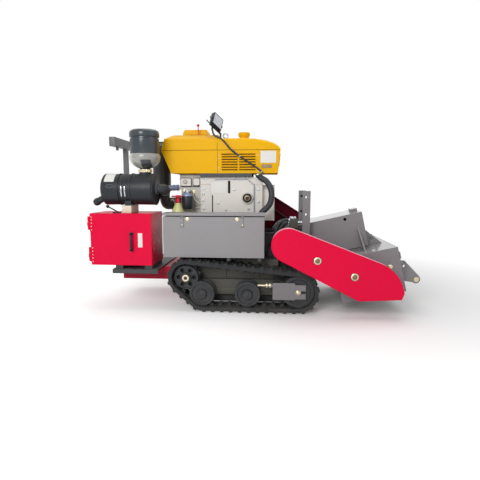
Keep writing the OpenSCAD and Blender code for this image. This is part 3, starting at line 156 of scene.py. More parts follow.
def makeWorld(strength):
    # lights the machine at one strength and shows as white where it is seen itself
    world = bpy.data.worlds.new("paleStudio")
    world.use_nodes = True
    scene.world = world
    world.node_tree.nodes.clear()
    w = Wiring(world.node_tree)
    parts = {0: seenDirectly(w)}
    for key, level in ((1, strength), (2, 1.0)):
        parts[key] = w.add("ShaderNodeBackground", {"Color": (1, 1, 1, 1), "Strength": level}).outputs[0]
    w.add("ShaderNodeOutputWorld", {0: w.add("ShaderNodeMixShader", parts).outputs[0]})


def makeFloor(d):
    half, tone = d["floorHalf"], d["floorColor"]
    mesh = bpy.data.meshes.new("studioFloor")
    corners = [(x * half, y * half, d["floorZ"]) for x, y in ((-1, -1), (1, -1), (1, 1), (-1, 1))]
    mesh.from_pydata(corners, [], [(0, 1, 2, 3)])
    floor = bpy.data.objects.new("studioFloor", mesh)
    scene.collection.objects.link(floor)
    mat = bpy.data.materials.new("paleFloor")
    mat.use_nodes = True
    w = Wiring(mat.node_tree)
    into = mat.node_tree.nodes["Principled BSDF"].inputs
    into["Base Color"].default_value = (tone, tone, tone, 1)
    into["Roughness"].default_value = 0.9
    into["Specular IOR Level"].default_value = 0.0
    into["Emission Color"].default_value = (1, 1, 1, 1)
    # a little of its own light for the camera alone, more far off, so the floor is white and the shadow stays; the
    # glow is least round one spot, a painted shadow there
    glow = w.ramp(w.vector("DISTANCE", w.place(), d["paintedShadowSpot"]), *d["floorGlow"])
    w.feed(into["Emission Strength"], w.math("MULTIPLY", seenDirectly(w), glow))
    mesh.materials.append(mat)


makeCamera(photoCamera)
makeLamps(studio["lamps"])
makeWorld(studio["worldStrength"])
makeFloor(studio)
print("studio ready")


def newGroup(name, inputs, outputs):
    group = bpy.data.node_groups.new(name, "ShaderNodeTree")
    kinds = {"f": "NodeSocketFloat", "c": "NodeSocketColor", "v": "NodeSocketVector"}
    for label, kind, value in inputs:
        socket = group.interface.new_socket(label, in_out="INPUT", socket_type=kinds[kind])
        socket.default_value = value
    for label, kind in outputs:
        group.interface.new_socket(label, in_out="OUTPUT", socket_type=kinds[kind])
    w = Wiring(group)
    return w, w.add("NodeGroupInput").outputs, w.add("NodeGroupOutput").inputs


def buildSoftTone():
    # broad cloudy shift of a colour: its level swings round 1 with large and small noise
    w, given, out = newGroup(
        "softTone",
        [("Color", "c", (0.5, 0.5, 0.5, 1)), ("Shift", "f", 0.08), ("Scale", "f", 3.0)],
        [("Color", "c"), ("Cloud", "f")],
    )
    place = w.place()
    wide = w.noise(place, given["Scale"], 3.0)
    small = w.noise(place, w.math("MULTIPLY", given["Scale"], 9.0), 2.0)
    cloud = w.math("ADD", w.math("MULTIPLY", wide, 0.7), w.math("MULTIPLY", small, 0.3))
    swing = w.math("MULTIPLY", w.math("SUBTRACT", cloud, 0.5), w.math("MULTIPLY", given["Shift"], 4.0))
    level = w.math("ADD", 1.0, swing)
    grey = w.add("ShaderNodeCombineColor", {0: level, 1: level, 2: level}).outputs[0]
    w.feed(out["Color"], w.blend(1.0, given["Color"], grey, "MULTIPLY"))
    w.feed(out["Cloud"], cloud)


def buildEdgeRub():
    # mask that is 1 on outer edges, where the rounded normal leaves the flat one, broken up by noise
    w, given, out = newGroup(
        "edgeRub",
        [("Radius", "f", 0.004), ("Grit", "f", 60.0), ("Reach", "f", 0.5)],
        [("Mask", "f"), ("Normal", "v")],
    )
    rounded = w.add("ShaderNodeBevel", {"Radius": given["Radius"]}, samples=4).outputs["Normal"]
    flat = w.add("ShaderNodeNewGeometry").outputs["Normal"]
    edge = w.ramp(w.math("SUBTRACT", 1.0, w.vector("DOT_PRODUCT", rounded, flat)), 0.02, 0.22)
    least = w.math("SUBTRACT", 0.78, w.math("MULTIPLY", given["Reach"], 0.5))
    grit = w.ramp(w.noise(w.place(), given["Grit"], 4.0, 0.65), least, 0.8)
    w.feed(out["Mask"], w.math("MULTIPLY", edge, grit, True))
    w.feed(out["Normal"], rounded)


def buildSettledDust():
    # mask that is 1 where dust lies: faces that look up, and what is low near the ground
    w, given, out = newGroup(
        "settledDust",
        [("Amount", "f", 0.3), ("Scale", "f", 14.0), ("Low", "f", 0.0)],
        [("Mask", "f")],
    )
    coord = w.add("ShaderNodeTexCoord").outputs
    lies = w.ramp(w.split(coord["Normal"])[2], 0.35, 0.95)
    low = w.math("MULTIPLY", w.ramp(w.split(coord["Object"])[2], 0.42, 0.02), given["Low"])
    cloud = w.ramp(w.noise(coord["Object"], given["Scale"], 5.0, 0.6), 0.32, 0.72)
    both = w.math("ADD", w.math("MULTIPLY", lies, given["Amount"]), low)
    w.feed(out["Mask"], w.math("MULTIPLY", both, cloud, True))


def buildFineGrain():
    # height of a fine grain: noise on a stretched place, with slower waves under it
    w, given, out = newGroup(
        "fineGrain",
        [("Scale", "f", 300.0), ("Stretch", "v", (1, 1, 1)), ("Slow", "f", 0.3)],
        [("Height", "f")],
    )
    stretched = w.vector("MULTIPLY", w.place(), given["Stretch"], 0)
    fine = w.noise(stretched, given["Scale"], 3.0, 0.6)
    slow = w.noise(stretched, w.math("MULTIPLY", given["Scale"], 0.12), 2.0)
    w.feed(out["Height"], w.math("ADD", fine, w.math("MULTIPLY", slow, given["Slow"])))


for buildGroup in (buildSoftTone, buildEdgeRub, buildSettledDust, buildFineGrain):
    buildGroup()


def placeGroup(w, name, values):
    return w.add("ShaderNodeGroup", values, node_tree=bpy.data.node_groups[name]).outputs


# what every finish starts from; each finish below states only its own values
finishBase = {
    "color": (128, 128, 128),
    "edgeColor": (170, 168, 165),
    "dustColor": (168, 162, 152),
    "mask": None,  # a function that changes the colour over the surface
    "shift": 0.05,
    "toneScale": 2.5,
    "metallic": 0.0,
    "roughness": 0.4,
    "roughSwing": 0.12,
    "coat": 0.0,
    "coatRoughness": 0.1,
    "specular": 0.5,
    "edgeRadius": 0.0025,
    "edgeGrit": 90.0,
    "edgeReach": 0.25,
    "dust": 0.18,
    "dustScale": 14.0,
    "dustRoughness": 0.5,
    "lowDust": 0.0,
    "grainScale": 260.0,
    "grainStretch": (1, 1, 1),
    "grainSlow": 0.4,
    "grainHeight": 0.03,  # in millimetres
}


def makeFinish(name, own):
    d = dict(finishBase, **own)
    mat = bpy.data.materials.new(name)
    mat.use_nodes = True
    w = Wiring(mat.node_tree)
    into = mat.node_tree.nodes["Principled BSDF"].inputs
    base = linearColor(*d["color"])
    if d["mask"]:
        base = d["mask"](w, base)
    tone = placeGroup(w, "softTone", {"Color": base, "Shift": d["shift"], "Scale": d["toneScale"]})
    edge = placeGroup(w, "edgeRub", {"Radius": d["edgeRadius"], "Grit": d["edgeGrit"], "Reach": d["edgeReach"]})
    dust = placeGroup(w, "settledDust", {"Amount": d["dust"], "Scale": d["dustScale"], "Low": d["lowDust"]})["Mask"]
    grain = {"Scale": d["grainScale"], "Stretch": d["grainStretch"], "Slow": d["grainSlow"]}
    grain = placeGroup(w, "fineGrain", grain)["Height"]
    worn = w.blend(edge["Mask"], tone["Color"], linearColor(*d["edgeColor"]))
    w.feed(into["Base Color"], w.blend(dust, worn, linearColor(*d["dustColor"])))
    swing = d["roughSwing"] / 2
    rough = w.ramp(tone["Cloud"], 0.3, 0.7, d["roughness"] - swing, d["roughness"] + swing)
    w.feed(into["Roughness"], w.math("ADD", rough, w.math("MULTIPLY", dust, d["dustRoughness"]), True))
    into["Metallic"].default_value = d["metallic"]
    into["Specular IOR Level"].default_value = d["specular"]
    into["Coat Weight"].default_value = d["coat"]
    into["Coat Roughness"].default_value = d["coatRoughness"]
    bump = {"Strength": 1.0, "Distance": d["grainHeight"] * 0.001, "Height": grain, "Normal": edge["Normal"]}
    w.feed(into["Normal"], w.add("ShaderNodeBump", bump).outputs[0])
    return mat


def chassisSplit(w, base):
    # the hull between the tracks is warm grey, the cheek plates in front of it dark
    place = w.split(w.place())
    cheeks = w.math("MAXIMUM", w.ramp(place[0], 0.186, 0.19), w.ramp(place[2], 0.392, 0.398))
    return w.blend(cheeks, base, linearColor(37, 39, 42))


def tensionerSplit(w, base):
    # the grey tensioner plate stands out from the beam, which is like the hull
    out = w.math("ABSOLUTE", w.math("SUBTRACT", w.split(w.place())[1], midY))
    return w.blend(w.math("GREATER_THAN", out, 0.4675), linearColor(74, 73, 67), base)


def paintedSkySheen(w, base):
    # painted sheen of the sky's light: the guard's upward faces are painted pale where they are seen almost edge on
    level = w.ramp(w.add("ShaderNodeLayerWeight").outputs["Facing"], 0.76, 0.9)
    return w.blend(w.math("MULTIPLY", w.ramp(w.lookUp(), 0.35, 0.6), level), base, linearColor(255, 178, 196))


def glossyTop(w, base):
    # faces that look up carry a clear coat, which mirrors the sky at the low view of the photograph
    w.feed(w.tree.nodes["Principled BSDF"].inputs["Coat Weight"], w.ramp(w.lookUp(), 0.5, 0.85))
    return base


def lensBands(w, base):
    # darker flutes behind the lamp's glass, counted across the tilted housing
    along = w.vector("DOT_PRODUCT", w.place(), (0.58, 0.63, -0.52))
    wave = w.math("SINE", w.math("MULTIPLY", along, 393.0))
    return w.blend(w.ramp(wave, 0.1, 0.9), base, linearColor(150, 158, 170))


def dustAndPaintedNeck(w, base):
    # pale dust lies inside the cup, more of it on one side; the dark neck as seen through the glass is painted on its
    # lower middle
    coord = w.place()
    place = w.split(coord)
    side = w.math("SUBTRACT", 1.0, w.ramp(place[0], -0.97, -0.86))
    cloud = w.ramp(w.noise(coord, 9.0, 3.0), 0.38, 0.6)
    dusty = w.blend(w.math("MULTIPLY", side, cloud, True), base, linearColor(212, 208, 198))
    # painted see-through: the dark neck's colour painted on the cup's lower middle
    off = w.math("ABSOLUTE", w.math("ADD", place[0], 0.838))
    neck = w.math("MULTIPLY", w.ramp(off, 0.041, 0.033), w.ramp(place[2], 1.196, 1.186))
    return w.blend(neck, dusty, linearColor(58, 60, 62))


crimson = dict(
    slot="crimson_paint", color=(228, 8, 62), edgeColor=(150, 60, 66), roughness=0.34, specular=0.12, grainScale=190,
    grainHeight=0.05, dust=0.06,
)
# slot names a material slot, for the finishes that pieces of this file carry
finishValues = {
    "crimsonPaint": crimson,
    # the guard's crimson paint with a painted sky sheen on its upward faces
    "guardPaintAndSheen": dict(crimson, mask=paintedSkySheen, dust=0.0),
    # the belt guard's crimson darkened: painted shade
    "beltGuardRedPaintedShade": dict(color=(122, 14, 40), edgeColor=(110, 40, 46), roughness=0.5, specular=0.1, dust=0.05),
    # the tail frame's red, darker than the crimson paint: painted shade
    "tailRedPaintedShade": dict(color=(176, 14, 48), edgeColor=(140, 60, 62), specular=0.2, grainHeight=0.05, dust=0.1),
    "yellowPaint": dict(
        slot="yellow_paint", color=(238, 180, 8), edgeColor=(190, 150, 60), shift=0.045, roughness=0.36,
        specular=0.09, grainScale=170, grainHeight=0.06, dust=0.06,
    ),
    "boxGrey": dict(slot="grey_paint", color=(142, 140, 142), roughness=0.42, coat=0.05, grainHeight=0.06, dust=0.12),
    "headGrey": dict(
        slot="grey_paint", mask=glossyTop, color=(132, 130, 132), edgeColor=(160, 160, 162), shift=0.06,
        roughness=0.42, specular=0.4, grainHeight=0.08, dust=0.2,
    ),
    "valveDark": dict(color=(56, 58, 50), edgeColor=(120, 120, 112), roughness=0.45, dust=0.1),
    "railGrey": dict(slot="grey_paint", color=(96, 98, 101), roughness=0.45, dust=0.15),
    "postGrey": dict(color=(122, 121, 123), roughness=0.45, dust=0.12),
    "frameGrey": dict(mask=tensionerSplit, color=(121, 119, 121), roughness=0.45, dust=0.08),
    "hullGrey": dict(
        slot="dark_paint", mask=chassisSplit, color=(87, 86, 79), roughness=0.5, specular=0.35, dust=0.12,
    ),
    "engineGrey": dict(
        slot="engine_paint", color=(226, 221, 214), edgeColor=(150, 146, 140), roughness=0.48, grainScale=420,
        grainHeight=0.18, grainSlow=0.8, dust=0.12,
    ),
    "headCast": dict(
        slot="engine_paint", color=(196, 192, 184), edgeColor=(140, 136, 130), shift=0.09, roughness=0.52,
        grainScale=380, grainHeight=0.25, grainSlow=0.9,
    ),
    "darkPaint": dict(
        slot="dark_paint", color=(46, 48, 52), edgeColor=(92, 92, 94), shift=0.08, roughness=0.46, dust=0.22,
    ),
    "platformPaint": dict(
        color=(52, 52, 56), edgeColor=(110, 108, 106), shift=0.1, roughness=0.5, dust=0.28, grainHeight=0.12,
    ),
    "castIron": dict(
        slot="cast_iron", color=(45, 47, 51), edgeColor=(96, 96, 98), dustColor=(120, 116, 110), shift=0.1,
        roughness=0.55, specular=0.35, grainScale=300, grainHeight=0.2, dust=0.15, lowDust=0.3,
    ),
    "trackRubber": dict(
        slot="track_rubber", color=(34, 36, 39), edgeColor=(74, 74, 76), dustColor=(112, 108, 102), shift=0.12,
        roughness=0.66, specular=0.35, grainScale=240, grainHeight=0.2, dust=0.22, lowDust=0.35,
    ),
    "hoseRubber": dict(
        slot="hose_rubber", color=(42, 46, 50), edgeColor=(60, 62, 64), shift=0.08, roughness=0.5, specular=0.4,
        grainScale=500, grainHeight=0.06, dust=0.14, edgeReach=0.0,
    ),
    "blackPlastic": dict(
        slot="black_plastic", color=(34, 38, 42), edgeColor=(68, 70, 74), shift=0.06, specular=0.3, grainScale=420,
        grainHeight=0.07, dust=0.12, edgeReach=0.1,
    ),
    "creamPlastic": dict(
        slot="cream_plastic", color=(228, 217, 196), edgeColor=(200, 190, 170), roughness=0.55, dust=0.05,
    ),
    "capRed": dict(
        slot="cap_plastic", color=(222, 34, 52), edgeColor=(190, 60, 66), roughness=0.36, coat=0.2, dust=0.04,
        edgeReach=0.0,
    ),
    "zincPlate": dict(
        slot="zinc_steel", color=(212, 200, 172), edgeColor=(230, 224, 208), shift=0.14, toneScale=26.0,
        metallic=0.85, roughness=0.34, grainScale=700, grainHeight=0.04, dust=0.06,
    ),
    "brightSteel": dict(
        slot="zinc_steel", color=(186, 190, 196), edgeColor=(220, 222, 224), shift=0.1, metallic=0.9, roughness=0.3,
        grainScale=500, grainStretch=(1, 1, 8), grainHeight=0.04, dust=0.08,
    ),
    "drumSteel": dict(
        color=(92, 88, 84), edgeColor=(140, 136, 130), shift=0.16, toneScale=8.0, metallic=0.55, roughness=0.5,
        grainHeight=0.2, dust=0.25, lowDust=0.3,
    ),
    "rodChrome": dict(
        color=(222, 222, 224), edgeColor=(222, 222, 224), shift=0.04, metallic=1.0, roughness=0.12, roughSwing=0.06,
        grainScale=600, grainStretch=(1, 6, 6), grainHeight=0.01, dust=0.04, edgeReach=0.0,
    ),
    "smokedPlastic": dict(
        slot="smoked_plastic", color=(52, 60, 66), edgeColor=(120, 128, 130), shift=0.08, roughness=0.22, dust=0.25,
        edgeReach=0.0,
    ),
    "bottleWax": dict(
        slot="bottle_plastic", color=(226, 226, 160), edgeColor=(236, 236, 190), roughness=0.35, dust=0.04,
        edgeReach=0.0,
    ),
    "lensWhite": dict(
        slot="zinc_steel", mask=lensBands, color=(214, 219, 226), edgeColor=(225, 228, 232), shift=0.08,
        toneScale=30.0, roughness=0.16, specular=0.7, dust=0.03, edgeReach=0.0,
    ),
    "clearPlastic": dict(
        slot="smoked_plastic", mask=dustAndPaintedNeck, color=(150, 150, 146), edgeColor=(200, 198, 190), shift=0.1,
        toneScale=9.0, roughness=0.2, specular=0.6, grainHeight=0.02, dust=0.1, edgeReach=0.0,
    ),
    "blueSteel": dict(
        slot="zinc_steel", color=(128, 142, 170), edgeColor=(180, 188, 204), shift=0.08, metallic=0.35,
        roughness=0.38, grainHeight=0.04, dust=0.08,
    ),
    "plateWhite": dict(
        slot="cream_plastic", color=(228, 226, 220), edgeColor=(210, 206, 196), shift=0.03, toneScale=12.0,
        roughness=0.42, grainHeight=0.02, dust=0.05,
    ),
    "plateSteel": dict(
        slot="zinc_steel", color=(128, 112, 86), edgeColor=(170, 158, 130), shift=0.14, toneScale=18.0, metallic=0.6,
        grainScale=400, grainStretch=(1, 1, 10), grainHeight=0.04, dust=0.08,
    ),
    "reflectorRed": dict(
        slot="cap_plastic", color=(206, 24, 36), edgeColor=(230, 90, 90), shift=0.06, toneScale=20.0, roughness=0.2,
        coat=0.5, grainScale=500, grainHeight=0.3, dust=0.03, edgeReach=0.0,
    ),
    "seamShadow": dict(
        slot="dark_paint", color=(38, 32, 26), edgeColor=(70, 62, 52), shift=0.1, roughness=0.7, specular=0.15,
        dust=0.1,
    ),
}
finishes = {name: makeFinish(name, own) for name, own in finishValues.items()}

nodeFinish = {
    "hullGrey": "chassis_frame",
    "tailRedPaintedShade": "tail_frame",
    "platformPaint": "operator_platform",
    "railGrey": "handrail",
    "postGrey": "lift_posts",
    "darkPaint": "engine_rails toolbox_shelf hood_cradle radiator_core muffler lift_barrel",
    "trackRubber": "track_near track_far",
    "frameGrey": "track_frame_near track_frame_far",
    "castIron": "sprocket_near sprocket_far road_wheels_near road_wheels_far idler_near idler_far flywheel",
    "crimsonPaint": "cabinet_body cabinet_door",
    "guardPaintAndSheen": "drive_guard",
    "beltGuardRedPaintedShade": "belt_guard",
    "blackPlastic": "valve_lever air_cleaner fuel_filter work_lamp",
    "boxGrey": "toolbox_body toolbox_lid",
    "engineGrey": "engine_block",
    "headCast": "cylinder_head",
    "brightSteel": "jackshaft lifting_eye",
    "hoseRubber": "v_belts intake_hose lamp_cable hose_bundle lift_hoses",
    "yellowPaint": "radiator_shroud water_tank fuel_tank fuel_cap",
    "capRed": "level_float bottle_cap",
    "creamPlastic": "cleaner_saddle",
    "smokedPlastic": "precleaner_bowl",
    "bottleWax": "fluid_bottle",
    "lensWhite": "lamp_lens",
    "valveDark": "lift_valve",
    "headGrey": "head_frame drum_housing push_arms",
    "zincPlate": "cross_pin",
    "drumSteel": "milling_drum",
    "rodChrome": "lift_rod",
}
shadeSmoothTo = 32  # degrees; a sharper edge of a CAD node stays sharp
louvreLips = {"past": 0.2105, "lift": 0.0065}  # metres from the middle plane, and how far up they move


def newModifierGroup(name):
    # a geometry node group with one mesh in and one out
    group = bpy.data.node_groups.new(name, "GeometryNodeTree")
    for way in ("INPUT", "OUTPUT"):
        group.interface.new_socket("Geometry", in_out=way, socket_type="NodeSocketGeometry")
    w = Wiring(group)
    return w, w.add("NodeGroupInput").outputs[0], w.add("NodeGroupOutput").inputs[0]


def buildCornerShading():
    # joins loose triangles, then shades smooth except over edges sharper than the given angle
    w, given, out = newModifierGroup("cornerShading")
    joined = w.add("GeometryNodeMergeByDistance", {"Geometry": given, "Distance": 0.00001}).outputs[0]
    bend = {0: w.add("GeometryNodeInputMeshEdgeAngle").outputs[0], 1: math.radians(shadeSmoothTo)}
    sharp = w.add("FunctionNodeCompare", bend, data_type="FLOAT", operation="GREATER_THAN").outputs[0]
    smooth = {"Geometry": joined, "Shade Smooth": True}
    faces = w.add("GeometryNodeSetShadeSmooth", smooth, domain="FACE").outputs[0]
    corners = {"Geometry": faces, "Selection": sharp, "Shade Smooth": False}
    w.feed(out, w.add("GeometryNodeSetShadeSmooth", corners, domain="EDGE").outputs[0])
    return w.tree


def buildLipLift(d):
    # the louvres' lips, all that stands out past the hood's sides, move up so that the slots show
    w, given, out = newModifierGroup("lipLift")
    across = w.split(w.add("GeometryNodeInputPosition").outputs[0])[1]
    off = {0: w.math("ABSOLUTE", w.math("SUBTRACT", across, midY)), 1: d["past"]}
    lip = w.add("FunctionNodeCompare", off, data_type="FLOAT", operation="GREATER_THAN").outputs[0]
    moved = {"Geometry": given, "Selection": lip, "Offset": (0, 0, d["lift"])}
    w.feed(out, w.add("GeometryNodeSetPosition", moved).outputs[0])
    return w.tree


def dressNodes():
    nodes["radiator_shroud"].modifiers.new("lipLift", "NODES").node_group = buildLipLift(louvreLips)
    shading = buildCornerShading()
    for finish, names in nodeFinish.items():
        for obj in (nodes[name] for name in names.split()):
            if not obj.material_slots:
                obj.data.materials.append(finishes[finish])
            for one in obj.material_slots:
                one.material = finishes[finish]
            obj.modifiers.new("cornerShading", "NODES").node_group = shading


dressNodes()
print("CAD nodes dressed")

near, far, upward, ahead = (0, -1, 0), (0, 1, 0), (0, 0, 1), (1, 0, 0)
head = {"pivot": (260.0, 548.0), "riseDeg": 12.8}  # the head's pivot in X and Z, and how far it is raised


def fromSource(points):
    # the source counts in millimetres from the machine's middle plane
    return np.asarray(points, float) / 1000.0 + (0.0, midY, 0.0)


def onHead(points):
    # places on the head are level about its pivot, then turned up by its rise
    x, y, z = np.asarray(points, float).T
    c, s = math.cos(math.radians(head["riseDeg"])), math.sin(math.radians(head["riseDeg"]))
    return fromSource(np.stack([head["pivot"][0] + x * c - z * s, y, head["pivot"][1] + x * s + z * c], 1))


def unit(v):
    v = np.asarray(v, float)
    return v / np.linalg.norm(v, axis=-1, keepdims=True)


def gridFaces(rows, cols, closeRows=False):
    # each point of the grid joined to the next along both ways; columns always close
    r, c = np.meshgrid(np.arange(rows if closeRows else rows - 1), np.arange(cols), indexing="ij")
    r2, c2 = (r + 1) % rows, (c + 1) % cols
    return np.stack([r * cols + c, r * cols + c2, r2 * cols + c2, r2 * cols + c], -1).reshape(-1, 4)


def turned(profile, centre, axis, sides=32):
    # radius and height carried round an axis: centre + height * axis + radius * (cos t * u + sin t * v)
    radius, height = np.array(profile, float).T
    axis = unit(axis)
    u = unit(np.cross(axis, (0.0, 0.0, 1.0) if abs(axis[2]) < 0.9 else (1.0, 0.0, 0.0)))
    t = np.linspace(0.0, 2 * np.pi, sides, endpoint=False)
    ring = np.cos(t)[:, None] * u + np.sin(t)[:, None] * np.cross(axis, u)
    points = np.asarray(centre, float) + height[:, None, None] * axis + radius[:, None, None] * ring
    return points.reshape(-1, 3), [gridFaces(len(radius), sides)]


def rod(low, high, r, place, axis, sides=32):
    # a round bar between two heights on its axis
    return turned([(0, low), (r, low), (r, high), (0, high)], place, axis, sides)


def ringAround(centre, axis, inner, outer, wide, edge=1.0, sides=40):
    # a band: a bevelled rectangle between two radii, carried round and closed on itself
    h = wide / 2
    profile = [(inner, -h), (outer - edge, -h), (outer, edge - h), (outer, h - edge), (outer - edge, h), (inner, h)]
    points, _ = turned(profile, centre, axis, sides)
    return points, [gridFaces(len(profile), sides, closeRows=True)]


def roundBlock(low, high, r, steps=3):
    # a ball's directions pushed out to the corners of a smaller block, with one point closing each end face
    low, high = np.asarray(low, float), np.asarray(high, float)
    middle, half = (low + high) / 2, (high - low) / 2
    r = min(r, half.min())
    arc = np.linspace(0.0, np.pi / 2, steps + 1)
    lon = np.concatenate([arc + k * np.pi / 2 for k in range(4)])[None, :]
    lat = np.concatenate([arc - np.pi / 2, arc])[:, None]
    way = np.stack([np.cos(lat) * np.cos(lon), np.cos(lat) * np.sin(lon), np.sin(lat) + 0 * lon], -1)
    sideX, sideY = (np.repeat(signs, steps + 1)[None, :] for signs in ([1, -1, -1, 1], [1, 1, -1, -1]))
    side = np.stack(np.broadcast_arrays(sideX, sideY, np.repeat([-1, 1], steps + 1)[:, None]), -1)
    body = middle + side * (half - r) + r * way
    ends = [np.broadcast_to(middle + (0, 0, k * half[2]), body[:1].shape) for k in (-1, 1)]
    points = np.concatenate([ends[0], body, ends[1]])
    return points.reshape(-1, 3), [gridFaces(points.shape[0], points.shape[1])]


def sideBlock(corners, side, r):
    # a round block given for the near side, or its mirror image on the far side
    return roundBlock(*np.sort(np.array(corners) * (1, -side, 1), axis=0), r)


def plate(outline, origin, across, up, depth, bevel=0.5):
    # a flat outline at three depths, the last drawn in by the bevel along its mitres, with flat ends
    flat = np.array(outline, float)
    x, y = flat.T
    if (x * np.roll(y, -1) - np.roll(x, -1) * y).sum() < 0:
        flat = flat[::-1]
    run = unit(np.roll(flat, -1, 0) - flat)
    inward = np.stack([-run[:, 1], run[:, 0]], 1)
    last = np.roll(inward, 1, 0)
    inner = flat + bevel * (inward + last) / (1 + (inward * last).sum(1, keepdims=True))
    across, up = unit(across), unit(up)
    out = np.cross(across, up)
    rings = [(flat, 0.0), (flat, depth - bevel), (inner, depth)]
    points = np.concatenate([np.asarray(origin, float) + f @ np.stack([across, up]) + d * out for f, d in rings])
    n = len(flat)
    return points, [gridFaces(3, n), np.arange(n)[None, ::-1], np.arange(2 * n, 3 * n)[None, :]]


def roundedBox(x0, x1, z0, z1, r, steps=4):
    # a rectangle's outline with quarter circles at its corners
    arc = np.linspace(0.0, np.pi / 2, steps + 1)
    t = np.concatenate([arc + k * np.pi / 2 for k in range(4)])
    sideX, sideZ = (np.repeat(ends, steps + 1) for ends in ([x1 - r, x0 + r, x0 + r, x1 - r],
                                                            [z1 - r, z1 - r, z0 + r, z0 + r]))
    return np.stack([sideX + r * np.cos(t), sideZ + r * np.sin(t)], 1)


def facePlate(x0, x1, z0, z1, r, y, depth, bevel=0.5):
    # a plate with round corners that stands out from an upright face toward the near side
    return plate(roundedBox(x0, x1, z0, z1, r), (0, y, 0), ahead, upward, depth, bevel)


def carried(path, profile, ref=far, closed=False, scale=None):
    # a closed profile follows a path; its two ways come from the path's run and one fixed way
    path, profile = np.asarray(path, float), np.asarray(profile, float)
    run = unit(np.roll(path, -1, 0) - np.roll(path, 1, 0) if closed else np.gradient(path, axis=0))
    side = unit(np.cross(run, ref))
    up = np.cross(side, run)
    size = np.ones(len(path)) if scale is None else np.asarray(scale, float)
    flat = profile[None] * size[:, None, None]
    points = path[:, None] + flat[..., :1] * side[:, None] + flat[..., 1:] * up[:, None]
    n, m = len(path), len(profile)
    faces = [gridFaces(n, m, closeRows=closed)]
    if not closed:
        faces += [np.arange(m)[None, ::-1], np.arange((n - 1) * m, n * m)[None, :]]
    return points.reshape(-1, 3), faces


def disc(r, sides=16):
    t = np.linspace(0.0, 2 * np.pi, sides, endpoint=False)
    return np.stack([r * np.cos(t), r * np.sin(t)], 1)


def softPath(points, per=6):
    # a smooth cubic through every point, whose slope at each is half the way from the last to the next
    p = np.asarray(points, float)
    p = np.concatenate([2 * p[:1] - p[1:2], p, 2 * p[-1:] - p[-2:-1]])
    t = np.linspace(0.0, 1.0, per, endpoint=False)[None, :, None]
    a, b, c, d = (p[i:len(p) - 3 + i, None] for i in range(4))
    curve = 0.5 * (2 * b + (c - a) * t + (2 * a - 5 * b + 4 * c - d) * t**2 + (3 * b - a - 3 * c + d) * t**3)
    return np.concatenate([curve.reshape(-1, 3), p[-2:-1]])


def tube(points, r, sides=20, ref=upward, per=6):
    # a round hose or wire on the smooth path through the points
    return carried(softPath(points, per), disc(r, sides), ref)


def roundPath(centre, u, v, r, start, end, count=24):
    # points on an arc: centre + r * (cos t * u + sin t * v)
    t = np.radians(np.linspace(start, end, count))[:, None]
    return np.asarray(centre, float) + r * (np.cos(t) * unit(u) + np.sin(t) * unit(v))


def loopOutline(circles, extra=0.0, stepDeg=5.0):
    # round the outside of circles taken in turn: arcs moved out by one distance, joined by their outer tangents
    c = np.array(circles, float)
    d = np.roll(c, -1, 0) - c
    after = np.arctan2(d[:, 1], d[:, 0]) - np.arccos(-d[:, 2] / np.hypot(d[:, 0], d[:, 1]))
    arcs = []
    for (x, z, r), start, end in zip(c, np.roll(after, 1), after):
        sweep = (end - start) % (2 * math.pi)
        count = max(2, math.ceil(math.degrees(sweep) / stepDeg)) if r + extra > 0 else 1
        t = np.linspace(start, start + sweep, count)
        arcs.append(np.stack([x + (r + extra) * np.cos(t), z + (r + extra) * np.sin(t)], 1))
    return np.concatenate(arcs)


def hexBolts(places, axis, across=15.0, high=7.0, washer=1.6):
    # six-sided heads with a falling rim on round washers, counted out from the face they sit on
    r, w = across / math.sqrt(3), across * 0.78
    low, top = washer - 0.5, washer + high
    cap = [(0, low), (r, low), (r, washer + high * 0.8), (r * 0.86, top), (0, top)]
    under = [(0, -0.6), (w, -0.6), (w, washer - 0.3), (w - 0.4, washer), (0, washer)]
    return [part for place in places for part in (turned(cap, place, axis, 6), turned(under, place, axis, 24))]


def domeHead(place, axis, r=5.0, high=3.0):
    profile = [(0, -0.5), (r, -0.5), (r, high * 0.25), (r * 0.8, high * 0.72), (r * 0.45, high * 0.94), (0, high)]
    return turned(profile, place, axis, 16)


def putPiece(name, surfaces, finish, body="chassis", replaces=(), place=fromSource, sharpDeg=38.0):
    # joins the surfaces into one mesh in the frame's metres, with its faces turned outward
    points, faces, start = [], [], 0
    for spots, groups in surfaces:
        points.append(spots)
        for group in groups:
            faces += (group + start).tolist()
        start += len(spots)
    mesh = bpy.data.meshes.new(name)
    mesh.from_pydata(place(np.concatenate(points)), [], faces)
    work = bmesh.new()
    work.from_mesh(mesh)
    bmesh.ops.remove_doubles(work, verts=work.verts, dist=1e-6)
    bmesh.ops.recalc_face_normals(work, faces=work.faces)
    work.to_mesh(mesh)
    work.free()
    mesh.shade_smooth()
    mesh.set_sharp_from_angle(angle=math.radians(sharpDeg))
    mesh.materials.append(finishes[finish])
    piece = bpy.data.objects.new(name, mesh)
    scene.collection.objects.link(piece)
    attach(piece, body)
    if replaces:
        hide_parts(*replaces)


cabinetDoor = {
    "face": -500.0,
    "handle": {"x": (-967, -951), "out": 36, "z": (483, 627), "foot": 16, "edge": 4},
    "pads": {"x": (-971, -947), "out": 4, "half": 13},
    "leaves": {"x": (-1297, -1268), "out": 2.2, "z": ((391, 508), (634, 752))},
    "knuckles": {"r": 10, "place": (-1306, -491, 0), "z": ((457, 508), (709, 752))},
    "rivets": {-1281: (747, 726, 700, 673, 647), -1279: (503, 476, 449, 422, 395)},
    "label": (-911, -875, 511, 623, 3),
}


